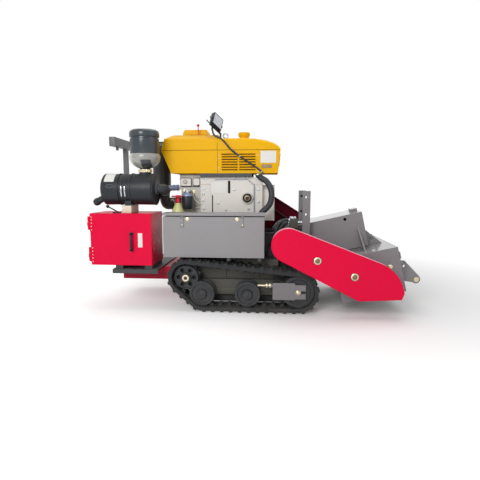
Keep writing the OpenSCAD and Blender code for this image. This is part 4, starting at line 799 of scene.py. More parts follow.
def buildCabinetDoor(d):
    face, h, p, leaf, k = (d[key] for key in ("face", "handle", "pads", "leaves", "knuckles"))
    (x0, x1), (z0, z1), y, foot = h["x"], h["z"], face - h["out"], h["foot"]
    ends = ((z0, face + 1, z0 + foot), (z1 - foot, face + 1, z1), (z0, y + foot, z1))
    bars = [roundBlock((x0, y, low), (x1, back, high), h["edge"]) for low, back, high in ends]
    (x0, x1), half = p["x"], p["half"]
    for z in (z0 + foot / 2, z1 - foot / 2):
        bars.append(roundBlock((x0, face - p["out"], z - half), (x1, face + 1, z + half), 2))
    putPiece("doorHandle", bars, "blackPlastic", "cabinet_door")
    (x0, x1), y = leaf["x"], face - leaf["out"]
    hinges = [roundBlock((x0, y, low), (x1, face + 0.5, high), 1) for low, high in leaf["z"]]
    hinges += [rod(low, high, k["r"], k["place"], upward) for low, high in k["z"]]
    putPiece("doorHinges", hinges, "crimsonPaint", "cabinet_door")
    rivets = [domeHead((x, y, z), near, 4.6, 2.6) for x, column in d["rivets"].items() for z in column]
    putPiece("doorRivets", rivets, "zincPlate", "cabinet_door")
    putPiece("doorPlate", [facePlate(*d["label"], face + 0.2, 1.2)], "plateWhite", "cabinet_door")


cabinetSide = {
    "x": -804.0,
    "bolts": [(-387, 691), (-406, 614), (-280, 532), (-421, 535), (-425, 486), (-330, 472), (-287, 584)],
}


def buildCabinetSide(d):
    putPiece("cabinetBolts", [domeHead((d["x"], y, z), ahead, 5.0, 3.2) for y, z in d["bolts"]], "zincPlate")


toolboxLatches = {
    "face": -460.0, "lidFace": -463.0, "x": (-566, -93), "half": 11, "base": (668, 730), "lever": (682, 738),
    "loop": ((7, 6, 728), (7, 8, 756), (5, 8.5, 763), (0, 8.5, 764)),  # half width, distance out and height
    "wireR": 1.6, "hook": (757, 761), "keeper": (752, 774), "buttons": [(-525, 733), (-134, 733)],
    "button": [(0, -0.5), (15, -0.5), (15, 2.2), (13, 3.6), (6.75, 3.8), (6, 2.4), (0, 2.4)],
}


def buildToolboxLatches(d):
    face, lid, half, (low, high), (down, up) = (d[key] for key in ("face", "lidFace", "half", "base", "lever"))
    latches, keepers, pins = [], [], []
    for x in d["x"]:
        latches.append(roundBlock((x - half, face - 2.4, low), (x + half, face + 0.5, high), 1.2))
        latches.append(roundBlock((x - half + 3, face - 8, down), (x + half - 3, face - 2, up), 2.2))
        latches.append(rod(-half - 3, half + 3, 4.5, (x, face - 5.5, low + 8), ahead, 16))
        wire = [(x - side, face - out, z) for side, out, z in d["loop"]]
        wire += [(x + side, face - out, z) for side, out, z in d["loop"][-2::-1]]
        latches.append(tube(wire, d["wireR"], 8, far, 4))
        for wide, out, (z0, z1), r in ((6, 9, d["hook"], 1.2), (10, 2, d["keeper"], 1)):
            keepers.append(roundBlock((x - wide, lid - out, z0), (x + wide, lid + 0.5, z1), r))
        pins.append(domeHead((x, face - 7.5, down + 6), near, 6.5, 3))
    putPiece("boxLatches", latches, "boxGrey")
    putPiece("latchPins", pins, "zincPlate")
    putPiece("lidKeepers", keepers, "boxGrey", "toolbox_lid")
    putPiece("boxButtons", [turned(d["button"], (x, face, z), near) for x, z in d["buttons"]], "zincPlate")


hood = {
    "half": 210.0, "x": (-789.0, 198.0), "low": 1094.0, "frontX": 180.0,
    "seam": {"half": 211.0, "z": 1283.0, "wide": 1.6, "past": 0.8},
    "panelSeams": ((-316.0, 1096.0, 1283.0), (-319.0, 1283.0, 1342.0)),  # place, low and high
    "whitePlate": (36, 164, 1177, 1274, 2), "steelPlate": (46, 130, 1135, 1166, 2),
    "screws": [(-305, 1236), (-305, 1209), (-305, 1137), (15, 1240), (12, 1131), (-305, 1112), (15, 1112)],
    "reflector": {"y": (-196, -150), "up": 56, "tall": 100},
    # dark plates behind the louvres: painted shade in the slots
    "shadeBox": ((-286, 1113), (-2, 1258), (203, 205)),
}


def buildHoodTrim(d):
    s, (x0, x1), face = d["seam"], d["x"], -d["half"]
    half, z, w, past = s["half"], s["z"], s["wide"], s["past"]
    strips = [roundBlock((x0 - past, y, z - w), (x1 + past, y + 2, z + w), 0.6) for y in (-half, half - 2)]
    strips += [roundBlock((x, -half, z - w), (x + 2, half, z + w), 0.6) for x in (x0 - past, x1 + past - 2)]
    for y in (0.2 - half, half - 1.8):
        strips += [roundBlock((x - 1.2, y, a), (x + 1.2, y + 1.6, b), 0.5) for x, a, b in d["panelSeams"]]
    putPiece("hoodSeams", strips, "seamShadow")
    # painted shade: dark plates just inside the hood behind the louvres, so the slots read dark
    (xa, za), (xb, zb), (ya, yb) = d["shadeBox"]
    shadeSheets = [roundBlock((xa, a, za), (xb, b, zb), 0.8) for a, b in ((-yb, -ya), (ya, yb))]
    putPiece("louvreShadeSheets", shadeSheets, "seamShadow")
    putPiece("hoodPlate", [facePlate(*d["whitePlate"], face + 0.3, 1.3)], "plateWhite")
    putPiece("hoodSmallPlate", [facePlate(*d["steelPlate"], face + 0.3, 1.5)], "plateSteel")
    putPiece("hoodScrews", [domeHead((x, face, z), near, 5.2, 3.4) for x, z in d["screws"]], "zincPlate")
    lean, r = unit((x1 - d["frontX"], 0, z - d["low"])), d["reflector"]
    foot = np.array([d["frontX"] - 0.4, 0, d["low"]]) + lean * r["up"]
    outline = roundedBox(*r["y"], 0, r["tall"], 4)
    putPiece("hoodReflector", [plate(outline, foot, far, lean, 4.5, 1.2)], "reflectorRed")


tank = {
    "x": (-319.0, 198.0), "half": 210.0, "z": (1283.0, 1380.0), "fall": 300.0, "edge": 36.0,
    "neck": {"place": (-108, -60, 1380), "shape": [(0, -8), (38, -8), (38, 11), (37, 12), (0, 12)]},
    "cap": [(0, 8), (40, 8), (40, 24), (46, 26), (49, 31), (49, 37), (47, 39), (47, 43), (49, 45), (49, 53), (45, 58),
            (30, 60), (0, 60)],
    "hopper": [(-633, 1424), (-415, 1424), (-415, 1440), (-432, 1466), (-616, 1466), (-633, 1440)],
    "hopperHalf": 63, "hopperNeck": ((-609, -45, 1411), (-439, 45, 1426)),
}


def buildTank(d):
    # level, then a quarter ellipse down to the front; every cross-section is a box with round upper corners
    (x0, x1), half, (low, high), n = d["x"], d["half"], d["z"], d["neck"]
    turn = np.radians(np.linspace(0, 86, 20))
    x = np.concatenate([[x0], x1 - d["fall"] * (1 - np.sin(turn))])
    top = np.concatenate([[high], low + (high - low) * np.cos(turn)])
    r = np.minimum(d["edge"], (top - low) * 0.9)[:, None]
    t = np.radians(np.linspace(0, 90, 9))
    y = np.concatenate([half - r + r * np.cos(t), r - half - r * np.cos(t[::-1])], 1)
    z = top[:, None] - r + r * np.concatenate([np.sin(t), np.sin(t[::-1])])
    y = np.pad(y, ((0, 0), (1, 1)), constant_values=((0, 0), (half, -half)))
    z = np.pad(z, ((0, 0), (1, 1)), constant_values=low)
    rings = np.stack([np.broadcast_to(x[:, None], y.shape), y, z], -1)
    rows, m = y.shape
    faces = [gridFaces(rows, m), np.arange(m)[None, ::-1], np.arange((rows - 1) * m, rows * m)[None, :]]
    shell = [(rings.reshape(-1, 3), faces), turned(n["shape"], n["place"], upward, 40)]
    putPiece("fuelTank", shell, "yellowPaint", replaces=("fuel_tank",), sharpDeg=50)
    putPiece("fuelCap", [turned(d["cap"], n["place"], upward, 48)], "yellowPaint", replaces=("fuel_cap",))
    w = d["hopperHalf"]
    lid = plate(d["hopper"], (0, w, 0), ahead, upward, 2 * w, 1.5)
    putPiece("hopperCap", [lid, roundBlock(*d["hopperNeck"], 3)], "yellowPaint")


engineFace = {
    "cover": -185.0,
    "rim": [(-341, 1042), (-336, 1043), (-76, 1043), (-68, 1041), (-20, 999), (-16, 992), (-16, 774)],
    "rimShape": [(-1.5, -7), (2.5, -5.5), (2.5, 5.5), (-1.5, 7)],
    "boss": {"place": (-71, 890), "ring": (38, 47), "shade": 38.5, "out": 17,
             "centre": [(0, 0), (25, 0), (25, 3.6), (23, 5), (0, 5)]},
    "whitePlate": (-377, -240, 929, 1028, 2), "shadeStrip": (-234, -214, 929, 1033, 3),
    "slot": (-369, -360, 773, 914, 2),
    "bolts": {-185.0: [(-316, 848), (-181, 959), (-250, 790), (-60, 800)],
              -176.0: [(-183, 1057), (-75, 1057), (-420, 1050), (10, 1050)],
              -170.0: [(-439, 965), (-442, 922), (-446, 869), (-440, 800), (20, 960), (24, 860), (20, 760)]},
}


def buildEngineFace(d):
    cover, boss = d["cover"], d["boss"]
    path = [(x, cover - 1, z) for x, z in d["rim"]]
    putPiece("coverRim", [carried(path, d["rimShape"], near)], "blueSteel")
    (x, z), out = boss["place"], cover - boss["out"]
    putPiece("bossRing", [ringAround((x, cover - 10, z), near, *boss["ring"], 22, 2, 48)], "headCast")
    putPiece("bossShade", [rod(0, 1.2, boss["shade"], (x, out, z), near, 48)], "seamShadow")
    putPiece("bossCentre", [turned(boss["centre"], (x, out, z), near, 40)], "plateSteel")
    putPiece("bossBolt", hexBolts([(x, out - 5, z)], near, 17, 4, 1), "castIron")
    putPiece("enginePlate", [facePlate(*d["whitePlate"], cover + 0.3, 1.3)], "plateWhite")
    # painted shade: dark strips on the cover, one beside the white plate and one down the slot
    dark = [facePlate(*d["shadeStrip"], cover + 0.3, 2.0), facePlate(*d["slot"], cover + 0.3, 1.6)]
    putPiece("engineShadeStrips", dark, "seamShadow")
    spots = [(x, face, z) for face, group in d["bolts"].items() for x, z in group]
    putPiece("engineBolts", hexBolts(spots, near, 14, 6, 1.4), "brightSteel")


headSide = {
    "top": ((-648, -149, 1040), (-472, 149, 1089)), "face": -150.0, "line": ((-642, -152, 981), (-474, -149, 987)),
    "covers": [(-640, -551, 991, 1055), (-533, -478, 995, 1055)],
    "bolts": [(-608, -150, 952), (-553, -150, 931), (-527, -150, 940)],
    "knob": {"place": (-601, -150, 1025), "shape": [(0, 3), (20, 3), (20, 8), (15, 15), (7, 18), (0, 18.5)]},
    "sleeve": [(-726, -322, 966), (-712, -280, 971), (-694, -230, 975), (-674, -185, 976), (-655, -151, 976)],
    "sleeveR": 22, "beads": (3, 9, 15),
    "pipe": [(-527, -166, 931), (-527, -180, 920), (-524, -184, 893), (-503, -184, 864), (-474, -180, 842),
             (-462, -178, 838)],
}


def buildHeadSide(d):
    face, knob, r = d["face"], d["knob"], d["sleeveR"]
    putPiece("headTop", [roundBlock(*d["top"], 6)], "headCast")
    shade = [facePlate(a - 4, b + 5, low - 5, high + 5, 12, face + 0.3, 1.5) for a, b, low, high in d["covers"]]
    putPiece("headShadows", [roundBlock(*d["line"], 1)] + shade, "seamShadow")
    putPiece("headCovers", [facePlate(*cover, 9, face, 5, 2) for cover in d["covers"]], "engineGrey")
    putPiece("headKnob", [turned(knob["shape"], knob["place"], near)], "headCast")
    putPiece("headBolts", hexBolts(d["bolts"], near, 21, 12, 3), "zincPlate")
    path = softPath(d["sleeve"])
    rings = [ringAround(path[k], path[k + 1] - path[k - 1], r - 1, r + 3, 9, 1.2) for k in d["beads"]]
    putPiece("blueSleeve", [tube(d["sleeve"], r, 32)] + rings, "blueSteel")
    putPiece("sleeveClamp", [ringAround(path[-3], path[-2] - path[-4], r, r + 5, 7, 1.5)], "plateWhite")
    putPiece("fuelPipe", [tube(d["pipe"], 4.5, 12, ahead)], "creamPlastic")


vessels = {
    "filter": (-568, -238, 0), "bottle": (-650, -212, 0),
    "body": [(0, 800), (38, 800), (43, 808), (43, 902), (40, 908), (0, 908)],
    "dome": [(0, 906), (45, 906), (46, 912), (42, 922), (32, 931), (18, 937), (0, 939)],
    "stem": (930, 958, 16), "bracket": ((-588, -238, 945), (-546, -149, 958)),
    "wax": [(0, 640), (51, 640), (55, 644), (55.5, 780), (53, 790), (27, 840), (23, 849), (0, 850)],
    "cap": [(0, 848), (20, 848), (21, 851), (21, 893), (26, 897), (56, 899), (58, 902), (58, 906), (54, 909),
            (22, 911), (20, 914), (0, 915)],
}


def buildVessels(d):
    spot = d["filter"]
    putPiece("filterBody", [turned(d["body"], spot, upward, 48)], "blackPlastic", replaces=("fuel_filter",))
    putPiece("filterDome", [turned(d["dome"], spot, upward, 48)], "blueSteel")
    bracket = [rod(*d["stem"], spot, upward, 24), roundBlock(*d["bracket"], 2)]
    putPiece("filterBracket", bracket, "brightSteel")
    putPiece("bottle", [turned(d["wax"], d["bottle"], upward, 56)], "bottleWax", replaces=("fluid_bottle",))
    putPiece("bottleCap", [turned(d["cap"], d["bottle"], upward, 56)], "capRed", replaces=("bottle_cap",))


airCleaner = {
    "axis": (-380.0, 964.0),
    "shell": [(0, -1206), (104, -1206), (106, -1204), (123, -1192), (124, -1188), (122, -1076), (126, -1075.5),
              (126, -1062.5), (118, -1062), (118, -976), (126, -975.5), (126, -962.5), (122, -962), (124, -805),
              (123, -800), (112, -788), (108, -787), (0, -787)],
    "neck": {"x": -873, "shape": [(0, 964), (49, 964), (49, 1090), (47, 1092), (0, 1092)]},
    "dustPipe": {"place": (-1160, -440, 915), "leanDeg": -118.5,
                 "shape": [(0, 0), (26, 0), (26, 88), (29, 90), (30, 100), (29, 112), (25, 123), (17, 131), (7, 134),
                           (0, 134)]},
    "bandX": (-1033, -1005), "band": (117.5, 120.5, 15, 1.0),
    "ends": ((-1197, 88, 109, 7, 2), (-791, 104, 126.5, 9, 2.5)),  # place, radii, width and edge of each end's ring
    "buckles": {"r": 122.5, "deg": ((-3, 11), (-27, -8)), "wide": 4.5, "thick": 2, "pin": (-7, 7, 3), "pinDeg": -6},
    "label": {"x": -1133, "wide": 39, "r": 123.3, "deg": (28, 74)},
    "rib": {"loop": (-1150, -1099, 976, 1000, 11.99, 8), "r": 124.0},
}


def buildAirCleaner(d):
    # angles go round the axis, from 0 at the near side to 90 at the top
    (y, z), k, p, lab, rib = (d[key] for key in ("axis", "buckles", "dustPipe", "label", "rib"))
    rings = [(x, *d["band"]) for x in d["bandX"]] + list(d["ends"])
    putPiece("cleanerBands", [ringAround((x, y, z), ahead, *sizes, 72) for x, *sizes in rings], "blackPlastic")
    lean = math.radians(p["leanDeg"])
    body = [turned(d["shell"], (0, y, z), ahead, 96)]
    body.append(turned(d["neck"]["shape"], (d["neck"]["x"], y, 0), upward, 56))
    body.append(turned(p["shape"], p["place"], (math.sin(lean), 0, math.cos(lean)), 40))
    putPiece("cleanerBody", body, "blackPlastic", replaces=("air_cleaner",))
    w, t, pin = k["wide"], k["thick"], math.radians(k["pinDeg"])
    strap, clips = [(-t, -w), (t, -w), (t, w), (-t, w)], []
    for x in d["bandX"]:
        clips += [carried(roundPath((x, y, z), near, upward, k["r"], *deg, 8), strap, ahead) for deg in k["deg"]]
        clips.append(rod(*k["pin"], (x, y - k["r"] * math.cos(pin), z + k["r"] * math.sin(pin)), ahead, 12))
    putPiece("cleanerBuckles", clips, "brightSteel")
    w = lab["wide"]
    arc = roundPath((lab["x"], y, z), near, upward, lab["r"], *lab["deg"], 20)
    label = carried(arc, [(-1.4, -w), (0.6, -w), (0.6, w), (-1.4, w)], ahead)
    putPiece("cleanerPlate", [label], "plateWhite")
    # the rib lies on the drum: its distance from the axis is the root of r squared less its height squared
    x, up = roundedBox(*rib["loop"]).T
    path = np.stack([x, y - np.sqrt(rib["r"] ** 2 - (up - z) ** 2), up], 1)
    putPiece("cleanerRib", [carried(path, disc(2.2, 8), near, closed=True)], "railGrey")


saddle = {"block": ((-1041, -470, 777), (-966, -290, 838)), "pad": (-1018, -966, 90, 837), "r": 126.3}


def buildSaddle(d):
    # the pad's outline closes with an arc round the cleaner's axis
    putPiece("saddleBlock", [roundBlock(*d["block"], 3)], "creamPlastic", replaces=("cleaner_saddle",))
    x0, x1, half, z = d["pad"]
    y0, z0 = airCleaner["axis"]
    side = np.linspace(-half, half, 17)
    arc = np.stack([y0 + side, z0 - np.sqrt(d["r"] ** 2 - side**2)], 1)
    outline = np.concatenate([[(y0 + half, z), (y0 - half, z)], arc])
    putPiece("saddlePad", [plate(outline, (x0, 0, 0), far, upward, x1 - x0, 0.2)], "blackPlastic")


frameTrim = {
    "railEnd": ((-1211, 1317), (-1163, 1393)), "railY": ((-253.5, -249.5), (329.5, 333.5)),
    "plugs": ((405, 235, 900), (405, 235, 760)),
}


def buildFrameTrim(d):
    (x0, z0), (x1, z1) = d["railEnd"]
    putPiece("railEnds", [roundBlock((x0, a, z0), (x1, b, z1), 1.5) for a, b in d["railY"]], "railGrey")
    # painted shade: dark discs in the posts' holes
    putPiece("postHoleShade", [rod(-1, 5, 11.3, spot, far, 24) for spot in d["plugs"]], "seamShadow")


bowl = {
    "place": (-873.0, -380.0),
    "smoked": [(0, 1236), (112, 1236), (114, 1241), (113, 1354), (108, 1357), (107, 1366), (115, 1370), (117, 1376),
               (117, 1394), (115, 1407), (108, 1418), (94, 1425), (60, 1427), (34, 1427.5), (0, 1428)],
    "clear": [(0, 1127), (44, 1127), (62, 1133), (84, 1147), (99, 1162), (112, 1181), (119.5, 1202), (121, 1212),
              (120, 1227), (113, 1240), (108, 1241), (0, 1241)],
    "neck": [(0, 1090), (44, 1090), (44, 1122), (40, 1125), (40, 1156), (0, 1156)],
    "clamp": {"z": 1108, "band": (49.5, 54.5, 24, 1.0, 56), "bolt": (-24, 26, 3.5)},
}


def buildBowl(d):
    (x, y), c = d["place"], d["clamp"]
    base, z = (x, y, 0), c["z"]
    putPiece("bowlTop", [turned(d["smoked"], base, upward, 72)], "smokedPlastic", replaces=("precleaner_bowl",))
    putPiece("bowlGlass", [turned(d["clear"], base, upward, 72)], "clearPlastic")
    putPiece("bowlNeck", [turned(d["neck"], base, upward, 48)], "blackPlastic")
    band = [ringAround((x, y, z), upward, *c["band"])]
    band.append(roundBlock((x + 22, y - 64, z - 9), (x + 38, y - 44, z + 9), 2))
    band.append(rod(*c["bolt"], (x + 30, y - 58, z), ahead, 12))
    putPiece("neckClamp", band + hexBolts([(x + 6, y - 58, z)], (-1, 0, 0), 11, 6, 1), "zincPlate")


lamp = {
    "centre": (-322.0, -140.0, 1522.3), "tiltDeg": (-33.0, -15.7, -32.7),  # turned about x, then y, then z
    "half": (55.0, 60.0), "bezel": (53.5, 58.5), "bezelWide": 7, "depth": (-12, 5), "fins": 6, "bolt": (-16, 62, 0),
    "post": {"place": (-301.0, -131.0, 0),
             "shape": [(0, 1380), (14, 1380), (14, 1384), (12, 1385), (8, 1385), (8, 1423), (0, 1423)]},
    "lever": [(-345, -150, 1478), (-372, -140, 1493), (-400, -136, 1518), (-417, -133, 1537)],
}


def lampPlace(points):
    # the housing's own places: x out through the glass, y across it, z up it
    turn = Euler([math.radians(v) for v in lamp["tiltDeg"]]).to_matrix()
    return fromSource(np.asarray(points, float) @ np.array(turn).T + lamp["centre"])


def buildLamp(d):
    (y, z), (by, bz), w, (back, front) = d["half"], d["bezel"], d["bezelWide"], d["depth"]
    bars = [roundBlock((back, a, -bz), (front, a + w, bz), 2.5) for a in (-by, by - w)]
    bars += [roundBlock((back, -by, a), (front, by, a + w), 2.5) for a in (-bz, bz - w)]
    fins = np.linspace(16 - z, z - 16, d["fins"])
    bars += [roundBlock((-42, 12 - y, k - 3), (-35, y - 12, k + 3), 1.5) for k in fins]
    bars.append(roundBlock((-36, -y, -z), (0, y, z), 5))
    bars += [roundBlock((-24, a, -z - 16), (-8, a + 8, 12), 2) for a in (-y - 7, y - 1)]
    bars.append(roundBlock((-24, -y - 7, -z - 16), (-8, y + 24, -z - 8), 2))
    putPiece("lampBody", bars, "blackPlastic", replaces=("work_lamp",), place=lampPlace)
    putPiece("lampPost", [turned(d["post"]["shape"], d["post"]["place"], upward, 24)], "blackPlastic")
    glass = plate(roundedBox(w - y, y - w, w - z, z - w, 3), (-0.5, 0, 0), far, upward, 4.0)
    putPiece("lampGlass", [glass], "lensWhite", replaces=("lamp_lens",), place=lampPlace)
    putPiece("lampLever", [tube(d["lever"], 4.2, 10)], "blackPlastic")
    x, side, up = d["bolt"]
    knobs = hexBolts([(x, -side, up)], near, 16, 8, 2) + hexBolts([(x, side, up)], far, 16, 8, 2)
    putPiece("lampBolts", knobs, "railGrey", place=lampPlace)


# each with its radius, the fixed way that its ring of points keeps to, the node that it stands for and its route
cords = {
    "hose": (24.0, far, ("hose_bundle",), [
        (19, -196, 1093.7), (19, -197, 1078), (40, -216, 1058), (84, -238, 1030), (116, -262, 985), (129, -270, 940),
        (129, -272, 894), (118, -270, 850), (94, -268, 815), (60, -266, 785), (37, -264, 750), (26, -262, 700),
        (22, -262, 640), (20, -262, 560), (20, -262, 500), (20, -262, 430)]),
    "cable": (7.5, upward, ("lamp_cable",), [
        (-362.0, -168.3, 1473.1), (-364.6, -178.1, 1458.5), (-358, -190, 1438), (-350, -205, 1415),
        (-331, -216, 1394), (-281, -223, 1370), (-240, -226, 1326), (-206, -226, 1286), (-130, -226, 1228),
        (-80, -226, 1195), (-30, -226, 1162), (15, -228, 1132), (46, -234, 1106), (62, -242, 1084)]),
    "liftHose": (12.0, far, ("lift_hoses",), [
        (302, -268, 711), (277, -270, 714), (252, -274, 718), (223, -280, 712), (193, -284, 690), (175, -286, 660),
        (166, -286, 628), (160, -284, 590), (158, -282, 550), (158, -280, 500), (158, -280, 450),
        (158, -280, 400.3)]),
    "secondHose": (9.0, far, (), [
        (296, -256, 692), (270, -258, 694), (243, -260, 689), (216, -264, 668), (198, -266, 640), (190, -266, 604),
        (187, -266, 560), (186, -266, 500), (186, -266, 440), (186, -266, 400)]),
}
intake = {
    "r": 41.0, "ref": (0.3, 0.1, 1.0), "clamps": ((2, 16), (26, 14), (65, 14)),  # point of the path and width
    "route": [
        (-786.7, -380, 968), (-765, -380, 968), (-742, -368, 967), (-734, -348, 964), (-735, -318, 957),
        (-745, -282, 938), (-757, -240, 894), (-762, -200, 862), (-764, -160, 842), (-760, -120, 832),
        (-748, -84, 830), (-734, -63, 830), (-716.3, -60, 830)],
}
hoseFittings = {
    "ties": [(-132, -226, 1230), (48, -235, 1104)], "tieRun": (45.0, -1.0, -34.0),
    "clamps": [(19, -196.5, 1084), (20, -262, 470)],
    "unions": [((276, -270, 714), (1, 0, 0), 11, 15, 13, 1, 24), ((272, -258, 694), (1, 0, 0.1), 8, 12, 11, 1, 24)],
    "plugs": [(292, 728, 17), (318, 728, 13)], "block": (0, 76, 10, (322, -268, 696)),
}


def buildCords():
    for name, (r, ref, stood, points) in cords.items():
        putPiece(name, [tube(points, r, 20, ref)], "hoseRubber", replaces=stood)
    # the sleeve widens over its first part, then a square wave gives it ribs
    path = softPath(intake["route"])
    s = np.linspace(0.0, 1.0, len(path))
    swell = 0.93 + 0.07 * np.minimum(s / 0.3, 1.0) + 0.025 * (np.sin(s * 150.0) > 0.2) * (s > 0.35) * (s < 0.8)
    sleeve = carried(path, disc(intake["r"], 40), intake["ref"], scale=swell)
    putPiece("intakeHose", [sleeve], "hoseRubber", replaces=("intake_hose",))
    ends = [ringAround(path[k], path[k + 1] - path[k - 1], 40, 44.5, w, 1.0, 48) for k, w in intake["clamps"]]
    putPiece("intakeClamps", ends[:2], "railGrey")
    putPiece("intakeClamp", ends[2:], "zincPlate")


def buildHoseFittings(d):
    ties = []
    for x, y, z in d["ties"]:
        ties.append(ringAround((x, y, z), d["tieRun"], 4, 7.5, 6, 1, 20))
        ties.append(roundBlock((x - 5, y - 9, z - 3), (x + 4, y - 3, z + 4), 1.5))
    putPiece("cableTies", ties, "plateWhite")
    putPiece("hoseClamps", [ringAround(spot, upward, 22, 27, 12) for spot in d["clamps"]], "zincPlate")
    fittings = [ringAround(*union) for union in d["unions"]]
    for x, z, r in d["plugs"]:
        fittings.append(turned([(0, 0), (r, 0), (r, 12), (r - 4, 17), (0, 18)], (x, -268, z), upward, 6))
    putPiece("valveFittings", fittings + [rod(*d["block"], ahead, 24)], "brightSteel")


guard = {
    "circles": [(0, 0, 128), (420, -518, 0), (729, -571, 0), (757, -530, 0), (480, -504, 278)],
    "y": (-505.0, -590.0), "bolts": [(185, -155), (427, -330)],
    "washer": [(0, 0), (28, 0), (28, 2.6), (26, 4), (0, 4)], "shade": (-0.5, 0.5, 31),
}


def buildGuard(d):
    inner, outer = d["y"]
    shell = plate(loopOutline(d["circles"]), (0, inner, 0), ahead, upward, inner - outer, 4)
    putPiece("driveGuard", [shell], "guardPaintAndSheen", "head", replaces=("drive_guard",), place=onHead)
    spots = [(x, outer, z) for x, z in d["bolts"]]
    shade = [rod(*d["shade"], spot, near, 40) for spot in spots]
    putPiece("guardShade", shade, "seamShadow", "head", place=onHead)
    washers = [turned(d["washer"], spot, near, 40) for spot in spots]
    putPiece("guardWashers", washers, "zincPlate", "head", place=onHead)
    heads = hexBolts([(x, y - 4, z) for x, y, z in spots], near, 24, 4, 1)
    putPiece("guardBolts", heads, "plateSteel", "head", place=onHead)


headTrim = {
    "bearing": [(514, -560), (514, -310), (735, -310), (757, -345), (757, -560)], "bearingY": (420, 430),
    "front": [((815, -424, -300), (823, -396, -246)), ((815, -410, -350), (829, -392, -322))],
    "hook": ((775, 388, -253), (808, 396, -196)), "bolt": (729, -345), "roof": [(762, 215, -251), (757, 85, -251)],
    "stud": [(0, -2), (13, -2), (13, 3), (9, 4), (9, 24), (7, 26), (0, 26)],
}


def buildHeadTrim(d):
    (a, b), (x, z) = d["bearingY"], d["bolt"]
    plates = [plate(d["bearing"], (0, -a, 0), ahead, upward, b - a, 1.5)]
    plates.append(plate([(-x, z) for x, z in d["bearing"]], (0, a, 0), (-1, 0, 0), upward, b - a, 1.5))
    plates += [roundBlock(*corners, 2) for corners in d["front"] + [d["hook"]]]
    putPiece("bearingPlates", plates, "headGrey", "head", place=onHead)
    studs = [turned(d["stud"], spot, upward, 20) for spot in d["roof"]]
    putPiece("roofStuds", studs, "darkPaint", "head", place=onHead)
    bolts = hexBolts([(x, -b, z)], near, 22, 9, 2) + hexBolts([(x, b, z)], far, 22, 9, 2)
    putPiece("bearingBolts", bolts, "zincPlate", "head", place=onHead)


undercarriage = {
    "loop": [(-539, 270, 112), (-408, 130, 92), (344, 166, 128)], "tread": (17.0, 28.0, 87.0), "trackY": 410,
    "skirt": ((-476, -343.5, 107), (150, -306, 170)), "underHullBlock": ((-462, -300, 40), (300, 300, 165)),
    "gear": ((150, -317, 186), (318, -306, 298)), "ribs": (-235, 41),
    # points are given for the far side, blocks for the near side
    "smallHose": [(249, 322, 205), (256, 330, 228), (276, 333, 247), (300, 333, 256), (322, 330, 252),
                  (338, 322, 240)],
    "wheels": [(-416, 140), (-53, 140)], "caps": [(-416, 486, 140), (-53, 486, 140), (344, 484, 166)],
    "wheel": [(0, -66), (32, -66), (38, -50), (72, -48), (80, -57), (97, -58), (101, -54), (101.7, -38), (62, -35),
              (62, 35), (101.7, 38), (101, 54), (97, 58), (81, 57.5), (77, 50), (42, 49), (37, 58), (36, 72),
              (33, 74.5), (0, 74.5)],
    "cap": [(0, 0), (19, 0), (19, 2.2), (16, 4.6), (8, 5.4), (0, 5.6)], "capBolts": 25,
    "hub": {"place": (-539, 492, 270), "shape": [(0, -2), (27, -2), (27, 5), (25.5, 6.5), (0, 6.5)]},
    "tensioner": {"place": (0, 460, 215), "screw": [(0, 28), (7, 28), (9.4, 31), (9.4, 146), (0, 146)],
                  "nuts": (118, 92), "bolt": (344, 485, 166)},
}


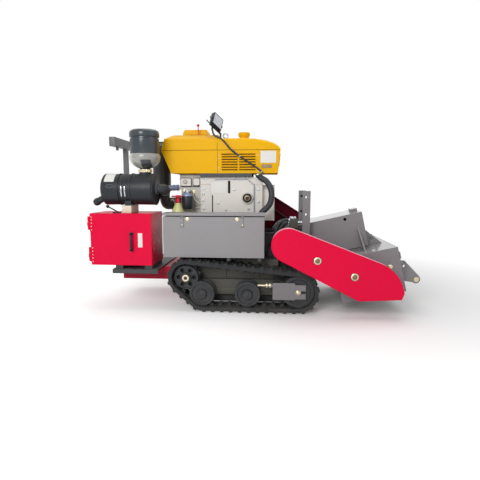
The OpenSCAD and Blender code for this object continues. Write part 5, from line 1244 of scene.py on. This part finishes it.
def buildUndercarriage(d):
    inner, outer, half = d["tread"]
    lows, highs = (loopOutline(d["loop"], extra) for extra in (inner, outer))
    for label, side in (("Near", -1), ("Far", 1)):
        way, mirror = (0, side, 0), np.array([1, side, 1])
        y = side * d["trackY"]
        wheels = [turned(d["wheel"], (x, y, z), way, 72) for x, z in d["wheels"]]
        putPiece("roadWheels" + label, wheels, "castIron", replaces=("road_wheels_" + label.lower(),))
        hub, t = d["hub"], d["tensioner"]
        bright = [turned(hub["shape"], hub["place"] * mirror, way, 40)]
        bright.append(turned(t["screw"], t["place"] * mirror, ahead, 24))
        for k in t["nuts"]:
            nut = [(0, k), (17.5, k), (18.5, k + 2), (18.5, k + 14), (17.5, k + 16), (0, k + 16)]
            bright.append(turned(nut, t["place"] * mirror, ahead, 6))
        bright += hexBolts([t["bolt"] * mirror], way, 26, 7, 1.6)
        putPiece("undercarriageBolts" + label, bright, "zincPlate")
        caps = []
        for spot in d["caps"] * mirror:
            caps.append(turned(d["cap"], spot - (0, side * 2, 0), way))
            for a in np.radians(range(0, 360, 90)):
                out = (d["capBolts"] * math.cos(a), -side * 8, d["capBolts"] * math.sin(a))
                caps.append(domeHead(spot + out, way, 3.6, 2.5))
        putPiece("wheelCaps" + label, caps, "castIron")
        sides = [(lows, -half), (highs, -half), (highs, half), (lows, half)]
        rings = np.stack([np.stack([f[:, 0], np.full(len(f), y + h), f[:, 1]], 1) for f, h in sides])
        tread = (rings.reshape(-1, 3), [gridFaces(4, len(lows), closeRows=True)])
        putPiece("tread" + label, [tread], "trackRubber")
        putPiece("beamSkirt" + label, [sideBlock(d["skirt"], side, 3)], "hullGrey")
        putPiece("gearSide" + label, [sideBlock(d["gear"], side, 3)], "castIron")
        putPiece("gearHose" + label, [tube(d["smallHose"] * mirror, 8, 14)], "hoseRubber")
        seams = [sideBlock(((x - 1.8, -307, 238), (x + 1.8, -304, 330)), side, 0.8) for x in d["ribs"]]
        putPiece("hullSeams" + label, seams, "seamShadow")
    # painted shade: a dark block under the hull, where the view shows only shade
    putPiece("underHullShade", [roundBlock(*d["underHullBlock"], 6)], "castIron")


buildCabinetDoor(cabinetDoor)
buildCabinetSide(cabinetSide)
buildToolboxLatches(toolboxLatches)
print("cabinet and toolbox fitted")
buildHoodTrim(hood)
buildEngineFace(engineFace)
buildTank(tank)
buildHeadSide(headSide)
buildVessels(vessels)
buildAirCleaner(airCleaner)
buildSaddle(saddle)
buildFrameTrim(frameTrim)
buildBowl(bowl)
print("hood, engine and air cleaner fitted")
buildLamp(lamp)
buildCords()
buildHoseFittings(hoseFittings)
buildUndercarriage(undercarriage)
buildGuard(guard)
buildHeadTrim(headTrim)
print("lamp, hoses and undercarriage fitted")
